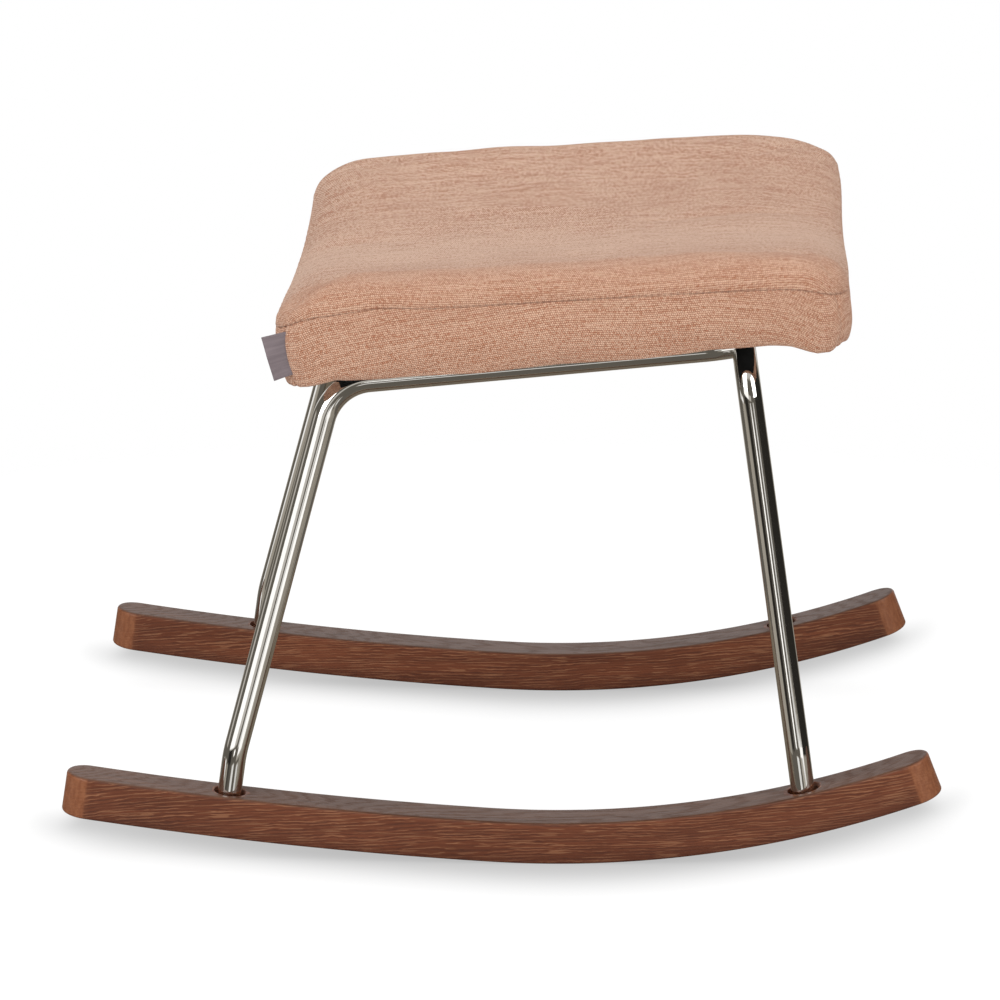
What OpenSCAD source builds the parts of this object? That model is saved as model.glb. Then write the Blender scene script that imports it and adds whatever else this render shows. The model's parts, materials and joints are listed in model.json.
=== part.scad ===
// Rocking footstool: two bent wooden rockers, a welded frame of polished tube,
// and an upholstered saddle-shaped seat that slopes up to the right.
// +X runs along the rockers, +Y away from the front, +Z up, in millimetres.
// The origin is on the floor, in the middle between the rockers.

/* [Rockers] */
// Overall length of each rocker
rocker_length = 590; // [520:1:660]
// Width of the rocker across the top
rocker_width = 32; // [28:0.5:40]
// Thickness of the rocker, square to its curve
rocker_thickness = 28.5; // [26:0.5:34]
// Distance between the middles of the two rockers
rocker_track = 392; // [380:1:430]
// Radius of the running face, from the contact point to the right end
front_curve_r = 715; // [600:5:900]
// Radius of the flatter running face towards the left end
tail_curve_r = 3000; // [2000:50:5000]
// Where the rocker touches the floor at rest
contact_x = 35; // [25:0.5:45]
// How far left of the contact point the flatter curve begins
curve_change = 43; // [30:1:60]

/* [Leg sockets] */
// Diameter of the hole that a leg stands in
socket_d = 21; // [20:0.5:24]
// Depth of that hole
socket_depth = 13; // [9:0.5:14]
// Diameter of the clearance hole for the rocker bolt
bolt_hole_d = 8.6; // [8.4:0.1:9]
// Diameter of the pocket under the rocker for the bolt head
head_pocket_d = 17; // [16.4:0.5:19]
// Wood left between the socket and the head pocket
socket_web = 7; // [6:0.5:8]

/* [Tube frame] */
// Outer diameter of the frame tube
tube_d = 16; // [14:0.5:18]
// Wall of the frame tube
tube_wall = 1.5; // [1:0.25:2]
// Where the left feet stand along the rocker
left_foot_x = -182; // [-200:1:-165]
// Where the right feet stand along the rocker
right_foot_x = 202; // [185:1:215]
// Lean of each foot towards the middle of the stool, in degrees
foot_lean = 8; // [4:0.5:12]
// Length of foot from the rocker to the bend above it
foot_rise = 27; // [22:1:36]
// Bend radius where a foot turns into its leg
foot_bend_r = 60; // [40:5:90]
// Distance of the left legs' top bends from the cushion's left end
knee_inset = 33.3; // [21:0.1:46]
// Bend radius of that bend, to the tube's middle
knee_bend_r = 35; // [28:1:45]
// Distance of each side rail's middle line from the cushion's side
rail_inset = 41; // [33:1:53]
// Height of the side rails' middle line above the floor, at the middle of the stool
rail_height = 325.9; // [300:0.1:350]
// Slope of the side rails and the seat, in degrees
seat_tilt = 5.5; // [3:0.1:7]
// Distance of the right legs' cross bar from the cushion's right end
hoop_end_inset = 70.7; // [61:0.1:81]
// Distance of the right legs' top corners from the cushion's sides
hoop_side_inset = 25; // [16:1:30]
// Bend radius at the top of the right legs
hoop_bend_r = 38; // [30:1:42]
// Turn of the rails' right ends towards the middle, in degrees
rail_turn = 27; // [15:1:32]
// Bend radius of that turn
rail_turn_r = 55; // [40:1:65]
// Gap between the left tabs and the tube that crosses between the side rails
cross_tube_gap = 8; // [4:1:20]

/* [Seat tabs] */
// Length of a welded tab along its rail
tab_length = 34; // [28:1:44]
// Reach of a tab beyond the side of its rail
tab_reach = 24; // [20:1:30]
// Thickness of a tab
tab_t = 3; // [2:0.5:4]
// Distance of the left seat screws from the cushion's left end
left_screw_inset = 70.5; // [64:0.5:78]
// Distance of the right seat screws from the cushion's right end
right_screw_inset = 116.5; // [108:0.5:124]
// Clearance hole for the seat screws
screw_hole_d = 6.6; // [6.4:0.1:7.4]

/* [Seat boards] */
// Middle of the seat along the stool
seat_x = 42.5; // [36:0.5:50]
// How far the black base panel stays inside the cushion's two ends
panel_end_inset = 32; // [26:1:45]
// How far the black base panel stays inside the cushion's near and far sides
panel_side_inset = 8; // [8:0.5:20]
// Thickness of the black base panel
panel_t = 3; // [2:0.5:5]
// Corner radius of the base panel
panel_corner_r = 14; // [8:1:30]
// How far the plywood seat board stays inside the cushion's two ends
board_end_inset = 27.5; // [20:0.5:40]
// How far the plywood seat board stays inside the cushion's near and far sides
board_side_inset = 9; // [8:0.5:20]
// Thickness of the plywood seat board
board_t = 12; // [9:0.5:15]
// Corner radius of the seat board
board_corner_r = 18; // [10:1:26]

/* [Cushion] */
// Length of the cushion, along the rails
cushion_length = 377; // [368:1:390]
// Width of the cushion, across the rails
cushion_width = 376; // [370:1:390]
// Corner radius of the cushion, seen from above
cushion_corner_r = 26; // [18:1:34]
// Thickness of the woven cover
cover_t = 1.5; // [1:0.25:2]
// Height of the top seam above the rails, at the near side
seam_h = 43; // [38:0.5:48]
// How much lower the top seam runs at the middle of the two ends
seam_dip = 9; // [4:0.5:14]
// Mean height of the raised near and far crests above the rails
crest_h = 73; // [66:0.5:84]
// How much higher the far crest stands than the near one
far_rise = 16; // [0:0.5:20]
// Depth of the hollow between the two crests
saddle_depth = 17; // [10:0.5:24]
// Distance over which the top rolls down to the seam
roll_w = 28; // [22:1:40]
// How far the cushion gets thinner from the left end to the right end
lean_drop = 12; // [0:0.5:16]
// How far the soft left end hangs below the seat board
left_droop = 2; // [0:0.5:6]
// How far the soft right end hangs below the seat board
right_droop = 9; // [0:0.5:10]
// How far the hem sags past the base panel's edge
hem_sag = 2.2; // [0:0.1:3]
// How many degrees the cushion's ends lean to the right, from square to the rails
end_lean = 5.5; // [0:0.5:10]
// How far each side is drawn in between its corners
side_draw = 2.5; // [0:0.5:5]

/* [Label] */
// How far the folded label stands out of the corner seam
label_out = 14; // [10:0.5:20]
// Length of the label along the seam
label_length = 30; // [20:0.5:36]
// Thickness of the folded label
label_t = 1.4; // [1:0.1:2]

/* [Fasteners] */
// Thread diameter of the rocker bolts
bolt_d = 8; // [7.6:0.1:8.2]
// Thread diameter of the seat screws
screw_d = 6; // [5.6:0.1:6.2]

/* [Hidden] */
$fn = 72;
// Overrun of every cut
over = 1;
// Sides of a tube's outline, and fineness of the rockers' curves
tube_sides = 24;
curve_fineness = 720;
// Largest turn from one ring of a bend to the next, in degrees
bend_step = 11;
// Clearance between a thread or spigot and its hole
slip = 0.1;
// Clearance between a soft piece and what it lies against
soft_gap = 0.3;
tube_r = tube_d / 2;
tube_bore_d = tube_d - 2 * tube_wall;
rocker_half = rocker_width / 2;
track_half = rocker_track / 2;
tan_tilt = tan(seat_tilt);

// Plug, washers and heads
plug_flange_d = 20.2;
plug_flange_t = 2.5;
plug_length = 16;
washer_d = 16;
washer_t = 1.5;
bolt_head_d = 14;
bolt_head_t = 4.4;
bolt_key_w = 5;
seat_washer_d = 14;
seat_washer_t = 1.2;
screw_head_d = 11;
screw_head_t = 3.3;
screw_key_w = 4;
screw_length = 20;
t_nut_flange_d = 19;
t_nut_flange_t = 1.3;
t_nut_barrel_d = 8;
t_nut_length = 10;
key_depth_share = 0.55;

// Boards, inside the cushion's outline
panel_length = cushion_length - 2 * panel_end_inset;
panel_width = cushion_width - 2 * panel_side_inset;
board_length = cushion_length - 2 * board_end_inset;
board_width = cushion_width - 2 * board_side_inset;

// The frame and the seat screws keep their places under the cushion
left_knee_x = seat_x - cushion_length / 2 + knee_inset;
hoop_x = seat_x + cushion_length / 2 - hoop_end_inset;
rail_y = cushion_width / 2 - rail_inset;
hoop_y = cushion_width / 2 - hoop_side_inset;
screw_offsets = [left_screw_inset - cushion_length / 2, cushion_length / 2 - right_screw_inset];

// Heights of the seat's layers above the rails
hem_h = panel_t;
board_h = hem_h + cover_t;
board_top_h = board_h + board_t;
screw_y = rail_y - tube_r - tab_reach / 2;
cross_tube_x = seat_x + (screw_offsets[0] + tab_length / 2) * cos(seat_tilt) + cross_tube_gap + tube_r;

// Vector helpers
function unit(v) = v / norm(v);
function along(a, b, t) = a + (b - a) * t;
function turn_between(a, b) = acos(unit(a) * unit(b));

// Running face of a rocker: one arc up to the right, a flatter one up to the left
change_angle = asin(curve_change / front_curve_r);
front_centre = [contact_x, front_curve_r];
tail_centre = front_centre + (tail_curve_r - front_curve_r) * [sin(change_angle), cos(change_angle)];
function arc_z(c, r, x) = c.y - sqrt(r * r - (x - c.x) * (x - c.x));
function on_tail(x) = x < contact_x - curve_change;
function rocker_top_z(x) = on_tail(x) ? arc_z(tail_centre, tail_curve_r - rocker_thickness, x)
    : arc_z(front_centre, front_curve_r - rocker_thickness, x);
// Each curve ends where its round nose reaches the overall length
function nose_over(a) = rocker_half * cos(a) + rocker_thickness / 2 * sin(a);
function end_angle(reach, r, a) = asin((reach - nose_over(a)) / (r - rocker_thickness / 2));
front_reach = rocker_length / 2 - contact_x;
tail_reach = rocker_length / 2 + tail_centre.x;
nose_angle = end_angle(front_reach, front_curve_r, end_angle(front_reach, front_curve_r, change_angle));
tail_angle = end_angle(tail_reach, tail_curve_r, end_angle(tail_reach, tail_curve_r, change_angle));

// Feet: where each stands on the rocker, and the direction in which it rises
function foot_base(x, side) = [x, side * track_half, rocker_top_z(x)];
function foot_dir(x) = [x < 0 ? sin(foot_lean) : -sin(foot_lean), 0, cos(foot_lean)];
function foot_bend(x, side) = foot_base(x, side) + foot_dir(x) * foot_rise;
function socket_floor(x, side) = foot_base(x, side) - foot_dir(x) * socket_depth;
function tube_start(x, side) = socket_floor(x, side) + foot_dir(x) * plug_flange_t;
function rail_z(x) = rail_height + x * tan_tilt;
feet = [for (x = [left_foot_x, right_foot_x], side = [-1, 1]) [x, side]];

// Middle lines of the tubes
turn_start_x = hoop_x - rail_turn_r * tan(rail_turn / 2);
turn_end_x = hoop_x + tube_r / 4;
turn_end_y = rail_y - (turn_end_x - turn_start_x) * tan(rail_turn);
function side_path(side) = [
    tube_start(left_foot_x, side),
    foot_bend(left_foot_x, side),
    [left_knee_x, side * rail_y, rail_z(left_knee_x)],
    [turn_start_x, side * rail_y, rail_z(turn_start_x)],
    [turn_end_x, side * turn_end_y, rail_z(turn_end_x)]];
side_radii = [0, foot_bend_r, knee_bend_r, rail_turn_r, 0];
hoop_path = [
    tube_start(right_foot_x, -1),
    foot_bend(right_foot_x, -1),
    [hoop_x, -hoop_y, rail_z(hoop_x)],
    [hoop_x, hoop_y, rail_z(hoop_x)],
    foot_bend(right_foot_x, 1),
    tube_start(right_foot_x, 1)];
hoop_radii = [0, foot_bend_r, hoop_bend_r, hoop_bend_r, foot_bend_r, 0];

// A tube is swept along its path as rings: one at each end and a few round each
// bend. The rings' first direction points straight up on the third length, the rail or
// the cross bar, and is carried along the other lengths without twist.
function run_dir(p, i) = unit(p[i + 1] - p[i]);
function bend_turn(p, i) = turn_between(p[i] - p[i - 1], p[i + 1] - p[i]);
function bend_side(p, i) = let (a = run_dir(p, i - 1), b = run_dir(p, i)) unit(b - a * (a * b));
function carried(x, a, b) = x - (a + b) * ((b * x) / (1 + a * b));
function upward(d) = unit([0, 0, 1] - d * d.z);
function ring_up(p, i) = i == 2 ? upward(run_dir(p, 2))
    : i > 2 ? carried(ring_up(p, i - 1), run_dir(p, i - 1), run_dir(p, i))
    : carried(ring_up(p, i + 1), run_dir(p, i + 1), run_dir(p, i));
function tube_ring(c, d, up, r) = let (side = cross(d, up))
    [for (k = [0:tube_sides - 1]) let (t = 360 * k / tube_sides) c + (up * cos(t) + side * sin(t)) * r];
function bend_rings(p, radii, i, r) = let (
        turn = bend_turn(p, i),
        d = run_dir(p, i - 1),
        inward = bend_side(p, i),
        steps = ceil(turn / bend_step),
        centre = p[i] + (inward - d * tan(turn / 2)) * radii[i])
    [for (k = [0:steps]) let (t = turn * k / steps, e = d * cos(t) + inward * sin(t))
        each tube_ring(centre + (d * sin(t) - inward * cos(t)) * radii[i], e,
            carried(ring_up(p, i - 1), d, e), r)];
function swept(p, radii, r) = let (n = len(p) - 1) concat(
    tube_ring(p[0], run_dir(p, 0), ring_up(p, 0), r),
    [for (i = [1:n - 1]) each bend_rings(p, radii, i, r)],
    tube_ring(p[n], run_dir(p, n - 1), ring_up(p, n - 1), r));
function quads(rings, n) = [for (i = [0:rings - 2], k = [0:n - 1])
    let (a = i * n + k, b = i * n + (k + 1) % n, c = a + n, d = b + n)
    each [[a, c, b], [b, c, d]]];

// Hollow tube: outside surface, inside surface and a flat ring at each end.
// The bore's flats, not its corners, lie at the bore's radius, so a round plug fits.
module tube_run(p, radii)
{
    outer = swept(p, radii, tube_r);
    inner = swept(p, radii, tube_bore_d / 2 / cos(180 / tube_sides));
    n = tube_sides;
    rings = len(outer) / n;
    m = len(outer);
    last = m - n;
    polyhedron(points = concat(outer, inner), faces = concat(
        quads(rings, n),
        [for (f = quads(rings, n)) [f[0] + m, f[2] + m, f[1] + m]],
        [for (k = [0:n - 1]) let (a = k, b = (k + 1) % n) each [[a, b, a + m], [b, b + m, a + m]]],
        [for (k = [0:n - 1]) let (a = last + k, b = last + (k + 1) % n)
            each [[a, a + m, b], [b, a + m, b + m]]]));
}

// The same outline without a bore, to cope another tube against it
module tube_filled(p, radii)
{
    outer = swept(p, radii, tube_r);
    n = tube_sides;
    polyhedron(points = outer, faces = concat(quads(len(outer) / n, n),
        [[for (k = [0:n - 1]) k], [for (k = [n - 1:-1:0]) len(outer) - n + k]]));
}

// Places its children on a foot's axis: z rises along the foot from the socket floor
module at_foot(foot)
{
    translate(socket_floor(foot[0], foot[1]))
        rotate([0, foot[0] < 0 ? foot_lean : -foot_lean, 0]) children();
}

// Places its children in the seat's own frame: x along the slope, z = 0 on the rails
module at_seat()
{
    translate([seat_x, 0, rail_z(seat_x) + tube_r / cos(seat_tilt)])
        rotate([0, -seat_tilt, 0]) children();
}

module at_screws()
{
    for (x = screw_offsets, y = [-screw_y, screw_y]) translate([x, y, 0]) children();
}

module rounded_plate(length, width, corner_r, t)
{
    linear_extrude(t) {
        square([length - 2 * corner_r, width], center = true);
        square([length, width - 2 * corner_r], center = true);
        for (x = [-1, 1], y = [-1, 1])
            translate([x * (length / 2 - corner_r), y * (width / 2 - corner_r)]) circle(corner_r);
    }
}

// One curve of a rocker, drawn from the joint between the two curves: the curve's
// centre is the origin, the joint is straight below it and the curve runs to +X.
// It is wider and longer than the rocker, which the plan outline then cuts to size.
module rocker_curve(r, turn)
{
    past_nose = atan(rocker_width / r);
    rotate([90, 0, 0]) rotate([0, 0, -90]) rotate_extrude(angle = turn + past_nose, $fn = curve_fineness)
        translate([r - rocker_thickness, -rocker_width]) square([rocker_thickness, 2 * rocker_width]);
}

// Plan outline of a rocker, square to its curve at the nose, with the nose's round end
module rocker_plan(r, turn)
{
    rotate([0, -turn, 0]) translate([0, 0, -r - rocker_length / 2]) linear_extrude(rocker_length) {
        translate([-2 * rocker_length, -rocker_half]) square([2 * rocker_length, rocker_width]);
        circle(rocker_half);
    }
}

module rocker(side)
{
    front_turn = change_angle + nose_angle;
    tail_turn = tail_angle - change_angle;
    difference() {
        translate([front_centre.x, side * track_half, front_centre.y]) rotate([0, change_angle, 0])
            intersection() {
                union() {
                    rocker_curve(front_curve_r, front_turn);
                    translate([0, 0, tail_curve_r - front_curve_r])
                        mirror([1, 0, 0]) rocker_curve(tail_curve_r, tail_turn);
                }
                rocker_plan(front_curve_r, front_turn);
                translate([0, 0, tail_curve_r - front_curve_r])
                    mirror([1, 0, 0]) rocker_plan(tail_curve_r, tail_turn);
            }
        for (x = [left_foot_x, right_foot_x]) at_foot([x, side]) {
            cylinder(d = socket_d, h = socket_depth + socket_d);
            translate([0, 0, -rocker_thickness]) cylinder(d = bolt_hole_d, h = rocker_thickness + over);
            translate([0, 0, -socket_web - rocker_thickness])
                cylinder(d = head_pocket_d, h = rocker_thickness);
        }
    }
}

module near_rocker() { color("#8a5a41") rocker(-1); }
module far_rocker() { color("#8a5a41") rocker(1); }

// Left foot, left leg and side rail in one bent tube; its end is coped to the hoop
module side_tube(side)
{
    difference() {
        tube_run(side_path(side), side_radii);
        tube_filled(hoop_path, hoop_radii);
    }
}

module near_side_tube() { color("#c9ccce") side_tube(-1); }
module far_side_tube() { color("#c9ccce") side_tube(1); }
module right_leg_hoop() { color("#c9ccce") tube_run(hoop_path, hoop_radii); }

module left_cross_tube()
{
    color("#c9ccce") difference() {
        translate([cross_tube_x, rail_y, rail_z(cross_tube_x)]) rotate([90, 0, 0])
            linear_extrude(2 * rail_y) difference() {
                circle(d = tube_d);
                circle(d = tube_bore_d);
            }
        at_seat() for (side = [-1, 1])
            translate([-cushion_length / 2, side * rail_y, -tube_r]) rotate([0, 90, 0])
                cylinder(d = tube_d, h = cushion_length);
    }
}

module seat_tabs()
{
    color("#b9bcbe") at_seat() difference() {
        for (x = screw_offsets, y = [-rail_y, rail_y - tube_r - tab_reach])
            translate([x - tab_length / 2, y, -tab_t]) cube([tab_length, tube_r + tab_reach, tab_t]);
        at_screws() translate([0, 0, -tab_t - over]) cylinder(d = screw_hole_d, h = tab_t + 2 * over);
        for (side = [-1, 1])
            translate([-cushion_length / 2, side * rail_y, -tube_r]) rotate([0, 90, 0])
                cylinder(d = tube_d, h = cushion_length);
    }
}

module foot_plugs()
{
    color("#9a9c9e") for (foot = feet) at_foot(foot) difference() {
        union() {
            cylinder(d = plug_flange_d, h = plug_flange_t);
            cylinder(d = tube_bore_d - slip, h = plug_length);
        }
        translate([0, 0, -over]) cylinder(d = bolt_d + slip, h = plug_length + 2 * over);
    }
}

module rocker_washers()
{
    color("#9a9c9e") for (foot = feet) at_foot(foot) translate([0, 0, -socket_web - washer_t])
        difference() {
            cylinder(d = washer_d, h = washer_t);
            translate([0, 0, -over]) cylinder(d = bolt_hole_d, h = washer_t + 2 * over);
        }
}

module socket_screw(d, length, head_d, head_t, key_w)
{
    difference() {
        union() {
            cylinder(d = d, h = length);
            translate([0, 0, -head_t]) cylinder(d = head_d, h = head_t);
        }
        translate([0, 0, -head_t - over])
            cylinder(d = key_w / cos(30), h = over + head_t * key_depth_share, $fn = 6);
    }
}

module rocker_bolts()
{
    color("#6f7173") for (foot = feet) at_foot(foot) translate([0, 0, -socket_web - washer_t])
        socket_screw(bolt_d, socket_web + washer_t + plug_length, bolt_head_d, bolt_head_t, bolt_key_w);
}

module base_panel()
{
    color("#1b1b1c") at_seat() difference() {
        rounded_plate(panel_length, panel_width, panel_corner_r, panel_t);
        at_screws() translate([0, 0, -over]) cylinder(d = screw_hole_d, h = panel_t + 2 * over);
    }
}

module seat_washers()
{
    color("#9a9c9e") at_seat() at_screws() translate([0, 0, -tab_t - seat_washer_t]) difference() {
        cylinder(d = seat_washer_d, h = seat_washer_t);
        translate([0, 0, -over]) cylinder(d = screw_hole_d, h = seat_washer_t + 2 * over);
    }
}

module seat_screws()
{
    color("#6f7173") at_seat() at_screws() translate([0, 0, -tab_t - seat_washer_t])
        socket_screw(screw_d, screw_length, screw_head_d, screw_head_t, screw_key_w);
}

module seat_board()
{
    color("#c8a676") at_seat() difference() {
        translate([0, 0, board_h]) rounded_plate(board_length, board_width, board_corner_r, board_t);
        at_screws() {
            cylinder(d = t_nut_barrel_d + slip, h = board_top_h + over);
            translate([0, 0, board_top_h - t_nut_flange_t])
                cylinder(d = t_nut_flange_d + slip, h = t_nut_flange_t + over);
        }
    }
}

module t_nuts()
{
    color("#9a9c9e") at_seat() at_screws() difference() {
        union() {
            translate([0, 0, board_top_h - t_nut_flange_t]) cylinder(d = t_nut_flange_d, h = t_nut_flange_t);
            translate([0, 0, board_top_h - t_nut_length]) cylinder(d = t_nut_barrel_d, h = t_nut_length);
        }
        cylinder(d = screw_d + slip, h = board_top_h + over);
    }
}

// Cushion. Its plan is a rounded rectangle whose sides are drawn in, walked round in
// four sides of side_steps each, from the middle of one corner to the middle of the next.
arc_steps = 3;
flat_steps = 8;
side_steps = 2 * arc_steps + flat_steps;
round_steps = 4 * side_steps;
half_length = cushion_length / 2;
half_width = cushion_width / 2;

function side_point(q, l, d) = let (
        r = cushion_corner_r,
        a = q < arc_steps ? -45 * (1 - q / arc_steps)
            : q > arc_steps + flat_steps ? 45 * (q - arc_steps - flat_steps) / arc_steps : 0,
        t = q < arc_steps ? -(l - r) : q > arc_steps + flat_steps ? l - r
            : (l - r) * (2 * (q - arc_steps) / flat_steps - 1))
    [t + r * sin(a), d - r + r * cos(a) - side_draw * cos(90 * t / l)];
function plan_point(k) = let (
        m = floor(k / side_steps) % 4,
        q = k - floor(k / side_steps) * side_steps,
        p = m % 2 == 0 ? side_point(q, half_length, half_width) : side_point(q, half_width, half_length))
    m == 0 ? [p.x, -p.y] : m == 1 ? [p.y, p.x] : m == 2 ? [-p.x, p.y] : [-p.y, -p.x];

// Heights over the plan: the top seam, the saddle of the top, and the underside
function lean_at(x) = -lean_drop * x / cushion_length;
function rise_at(y) = far_rise * max(-1, min(1, y / crest_y)) / 2;
function seam_at(x, y) = seam_h + lean_at(x) + seam_rise_share * (far_rise / 2 + rise_at(y))
    - seam_dip * (1 - pow(abs(y) / half_width, 2.5)) - seam_end_drop * pow(abs(x) / half_length, 6);
function saddle_at(x, y) = crest_h + lean_at(x) + rise_at(y)
    - saddle_depth * (1 - pow(min(1, abs(y) / crest_y), 2.2)) - seam_end_drop * pow(abs(x) / half_length, 4);
function droop_at(x) = x < 0 ? left_droop : right_droop;
function under_at(x) = hem_h - droop_at(x) * pow(max(0, abs(x) - panel_length / 2) / panel_end_inset, 2);
seam_end_drop = 3;
seam_rise_share = 0.6;
crest_y = half_width - roll_w / 2;
function roll(inset) = sqrt(1 - pow(1 - min(inset, roll_w) / roll_w, 2));

// Rings of the border, from the hem under the board up to the top seam: inset,
// share of the height, angle at which the cover faces, and share of the hem's sag
border_rings = [[46, 0, -90, 0], [31, 0, -90, 0], [14, 0, -90, 0], [7.5, 0, -85, 0], [3.5, 0, -60, 1],
    [1, 0.12, -25, 0.6], [-1, 0.42, 0, 0], [-0.6, 0.75, 5, 0], [0.3, 0.92, 10, 0], [2, 1, 20, 0]];
// Rings of the top, from the seam to the middle: inset and the angle at which it faces
top_rings = [[2, -20], [0.4, -5], [1.4, 12], [4.5, 38], [10, 58], [18, 76], [28, 90], [52, 90],
    [84, 90], [120, 90], [156, 90]];

function ring_plan(k, inset) = let (p = plan_point(k))
    [p.x * (1 - inset / half_length), p.y * (1 - inset / half_width)];
function pushed(p, out, face, depth) = let (n = unit(out))
    leaned([p.x - n.x * depth * cos(face), p.y - n.y * depth * cos(face), p.z - depth * sin(face)]);
function leaned(p) = [p.x + p.z * tan(end_lean), p.y, p.z];
function border_point(k, ring, depth) = let (
        p = ring_plan(k, ring[0]),
        e = plan_point(k),
        low = under_at(p.x),
        z = low + ring[1] * (seam_at(e.x, e.y) - low) - ring[3] * hem_sag)
    pushed([p.x, p.y, z], e, ring[2], depth);
// The top leaves the seam a little before it rises, which leaves the seam's groove
function top_point(k, ring, depth) = let (
        p = ring_plan(k, ring[0]),
        e = plan_point(k),
        low = seam_at(e.x, e.y),
        rise = ring[0] == top_rings[0][0] ? 0 : max(roll(ring[0]), 0.12),
        z = low + (saddle_at(p.x, p.y) - low) * rise)
    pushed([p.x, p.y, z], e, ring[1], depth);

function grid_faces(rows, cols, start, flip) = [for (i = [0:rows - 2], j = [0:cols - 2])
    let (a = start + i * cols + j, b = a + 1, c = a + cols, d = c + 1)
    each flip ? [[a, c, b], [b, c, d]] : [[a, b, c], [b, d, c]]];
// Closes the rim between two like grids, the second starting at n
function rim_faces(rows, cols, n) = let (
        loop = concat([for (j = [0:cols - 1]) j], [for (i = [1:rows - 1]) i * cols + cols - 1],
            [for (j = [cols - 2:-1:0]) (rows - 1) * cols + j], [for (i = [rows - 2:-1:1]) i * cols]))
    [for (i = [0:len(loop) - 1]) let (a = loop[i], b = loop[(i + 1) % len(loop)])
        each [[a, b, a + n], [b, b + n, a + n]]];

module border_panel(m)
{
    rows = len(border_rings);
    cols = side_steps + 1;
    outer = [for (ring = border_rings, q = [0:side_steps]) border_point(m * side_steps + q, ring, 0)];
    inner = [for (ring = border_rings, q = [0:side_steps]) border_point(m * side_steps + q, ring, cover_t)];
    at_seat() polyhedron(points = concat(outer, inner), faces = concat(
        grid_faces(rows, cols, 0, true), grid_faces(rows, cols, len(outer), false),
        rim_faces(rows, cols, len(outer))));
}

// A closed stack of rings with a middle point at each end, turned into faces
function ring_faces(rings, n, flip) = [for (i = [0:rings - 2], k = [0:n - 1])
    let (a = i * n + k, b = i * n + (k + 1) % n, c = a + n, d = b + n)
    each flip ? [[a, c, b], [b, c, d]] : [[a, b, c], [b, d, c]]];
function fan_faces(first, n, tip, flip) = [for (k = [0:n - 1])
    flip ? [first + k, tip, first + (k + 1) % n] : [first + k, first + (k + 1) % n, tip]];

module cover_top()
{
    n = round_steps;
    rows = len(top_rings);
    outer = [for (ring = top_rings, k = [0:n - 1]) top_point(k, ring, 0)];
    inner = [for (i = [rows - 1:-1:0], k = [0:n - 1]) top_point(k, top_rings[i], cover_t)];
    tip = leaned([0, 0, saddle_at(0, 0)]);
    stack = concat(inner, outer);
    color("#c9967b") at_seat() polyhedron(
        points = concat(stack, [tip - [0, 0, cover_t], tip]),
        faces = concat(
            [for (i = [0:rows - 2], f = ring_faces(2, n, true)) [for (v = f) v + i * n]],
            [for (f = ring_faces(2, n, true)) [for (v = f) v + (rows - 1) * n]],
            [for (i = [rows:2 * rows - 2], f = ring_faces(2, n, true)) [for (v = f) v + i * n]],
            fan_faces(0, n, len(stack), false),
            fan_faces((2 * rows - 1) * n, n, len(stack) + 1, true)));
}

module near_border() { color("#c48a6c") border_panel(0); }
module right_border() { color("#c48a6c") border_panel(1); }
module far_border() { color("#c48a6c") border_panel(2); }
module left_border() { color("#c48a6c") border_panel(3); }

module foam_core()
{
    n = round_steps;
    depth = cover_t + soft_gap;
    border = [for (ring = border_rings, k = [0:n - 1]) border_point(k, ring, depth)];
    top = [for (i = [1:len(top_rings) - 1], k = [0:n - 1]) top_point(k, top_rings[i], depth)];
    rings = len(border_rings) + len(top_rings) - 1;
    stack = concat(border, top);
    low = [0, 0, hem_h + depth];
    high = leaned([0, 0, saddle_at(0, 0) - depth]);
    color("#efe6c8") at_seat() difference() {
        polyhedron(points = concat(stack, [low, high]),
            faces = concat(ring_faces(rings, n, true), fan_faces(0, n, len(stack), false),
                fan_faces((rings - 1) * n, n, len(stack) + 1, true)));
        translate([0, 0, board_h - over])
            rounded_plate(board_length, board_width, board_corner_r, board_t + over);
    }
}

// The label's foot is set in towards the hem, where the corner it is sewn into draws in.
// It stands off the corner's fullest ring.
label_lean = 10;
label_ring = 6;
label_middle_share = 0.45;
// Folded label: two layers of ribbon with a round fold at the free edge
module corner_label()
{
    r = label_t / 2;
    corner = plan_point(0);
    border_bulge = corner.x * border_rings[label_ring][0] / -half_length;
    label_clear = soft_gap + label_length / 2 * (sin(label_lean) + tan(end_lean) / 2);
    label_middle = along(hem_h, seam_at(corner.x, corner.y), label_middle_share);
    color("#786e72") at_seat()
        translate(leaned([corner.x + border_bulge - label_clear, corner.y, label_middle]))
            rotate([0, -label_lean, 0]) translate([0, 0, -label_length / 2])
                linear_extrude(label_length) difference() {
                    union() {
                        translate([-label_out + r, 0]) circle(r);
                        translate([-label_out + r, -r]) square([label_out, label_t]);
                    }
                    translate([-label_out + r, -r / 4]) square([label_out + over, r / 2]);
                }
}

near_rocker();
far_rocker();
near_side_tube();
far_side_tube();
right_leg_hoop();
left_cross_tube();
seat_tabs();
foot_plugs();
rocker_washers();
rocker_bolts();
base_panel();
seat_screws();
seat_washers();
seat_board();
t_nuts();
foam_core();
cover_top();
near_border();
right_border();
far_border();
left_border();
corner_label();
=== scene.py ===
import json
import bpy
import bmesh
import numpy as np
from numpy import cos, pi, radians, sin, tan
from mathutils import Matrix

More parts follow.
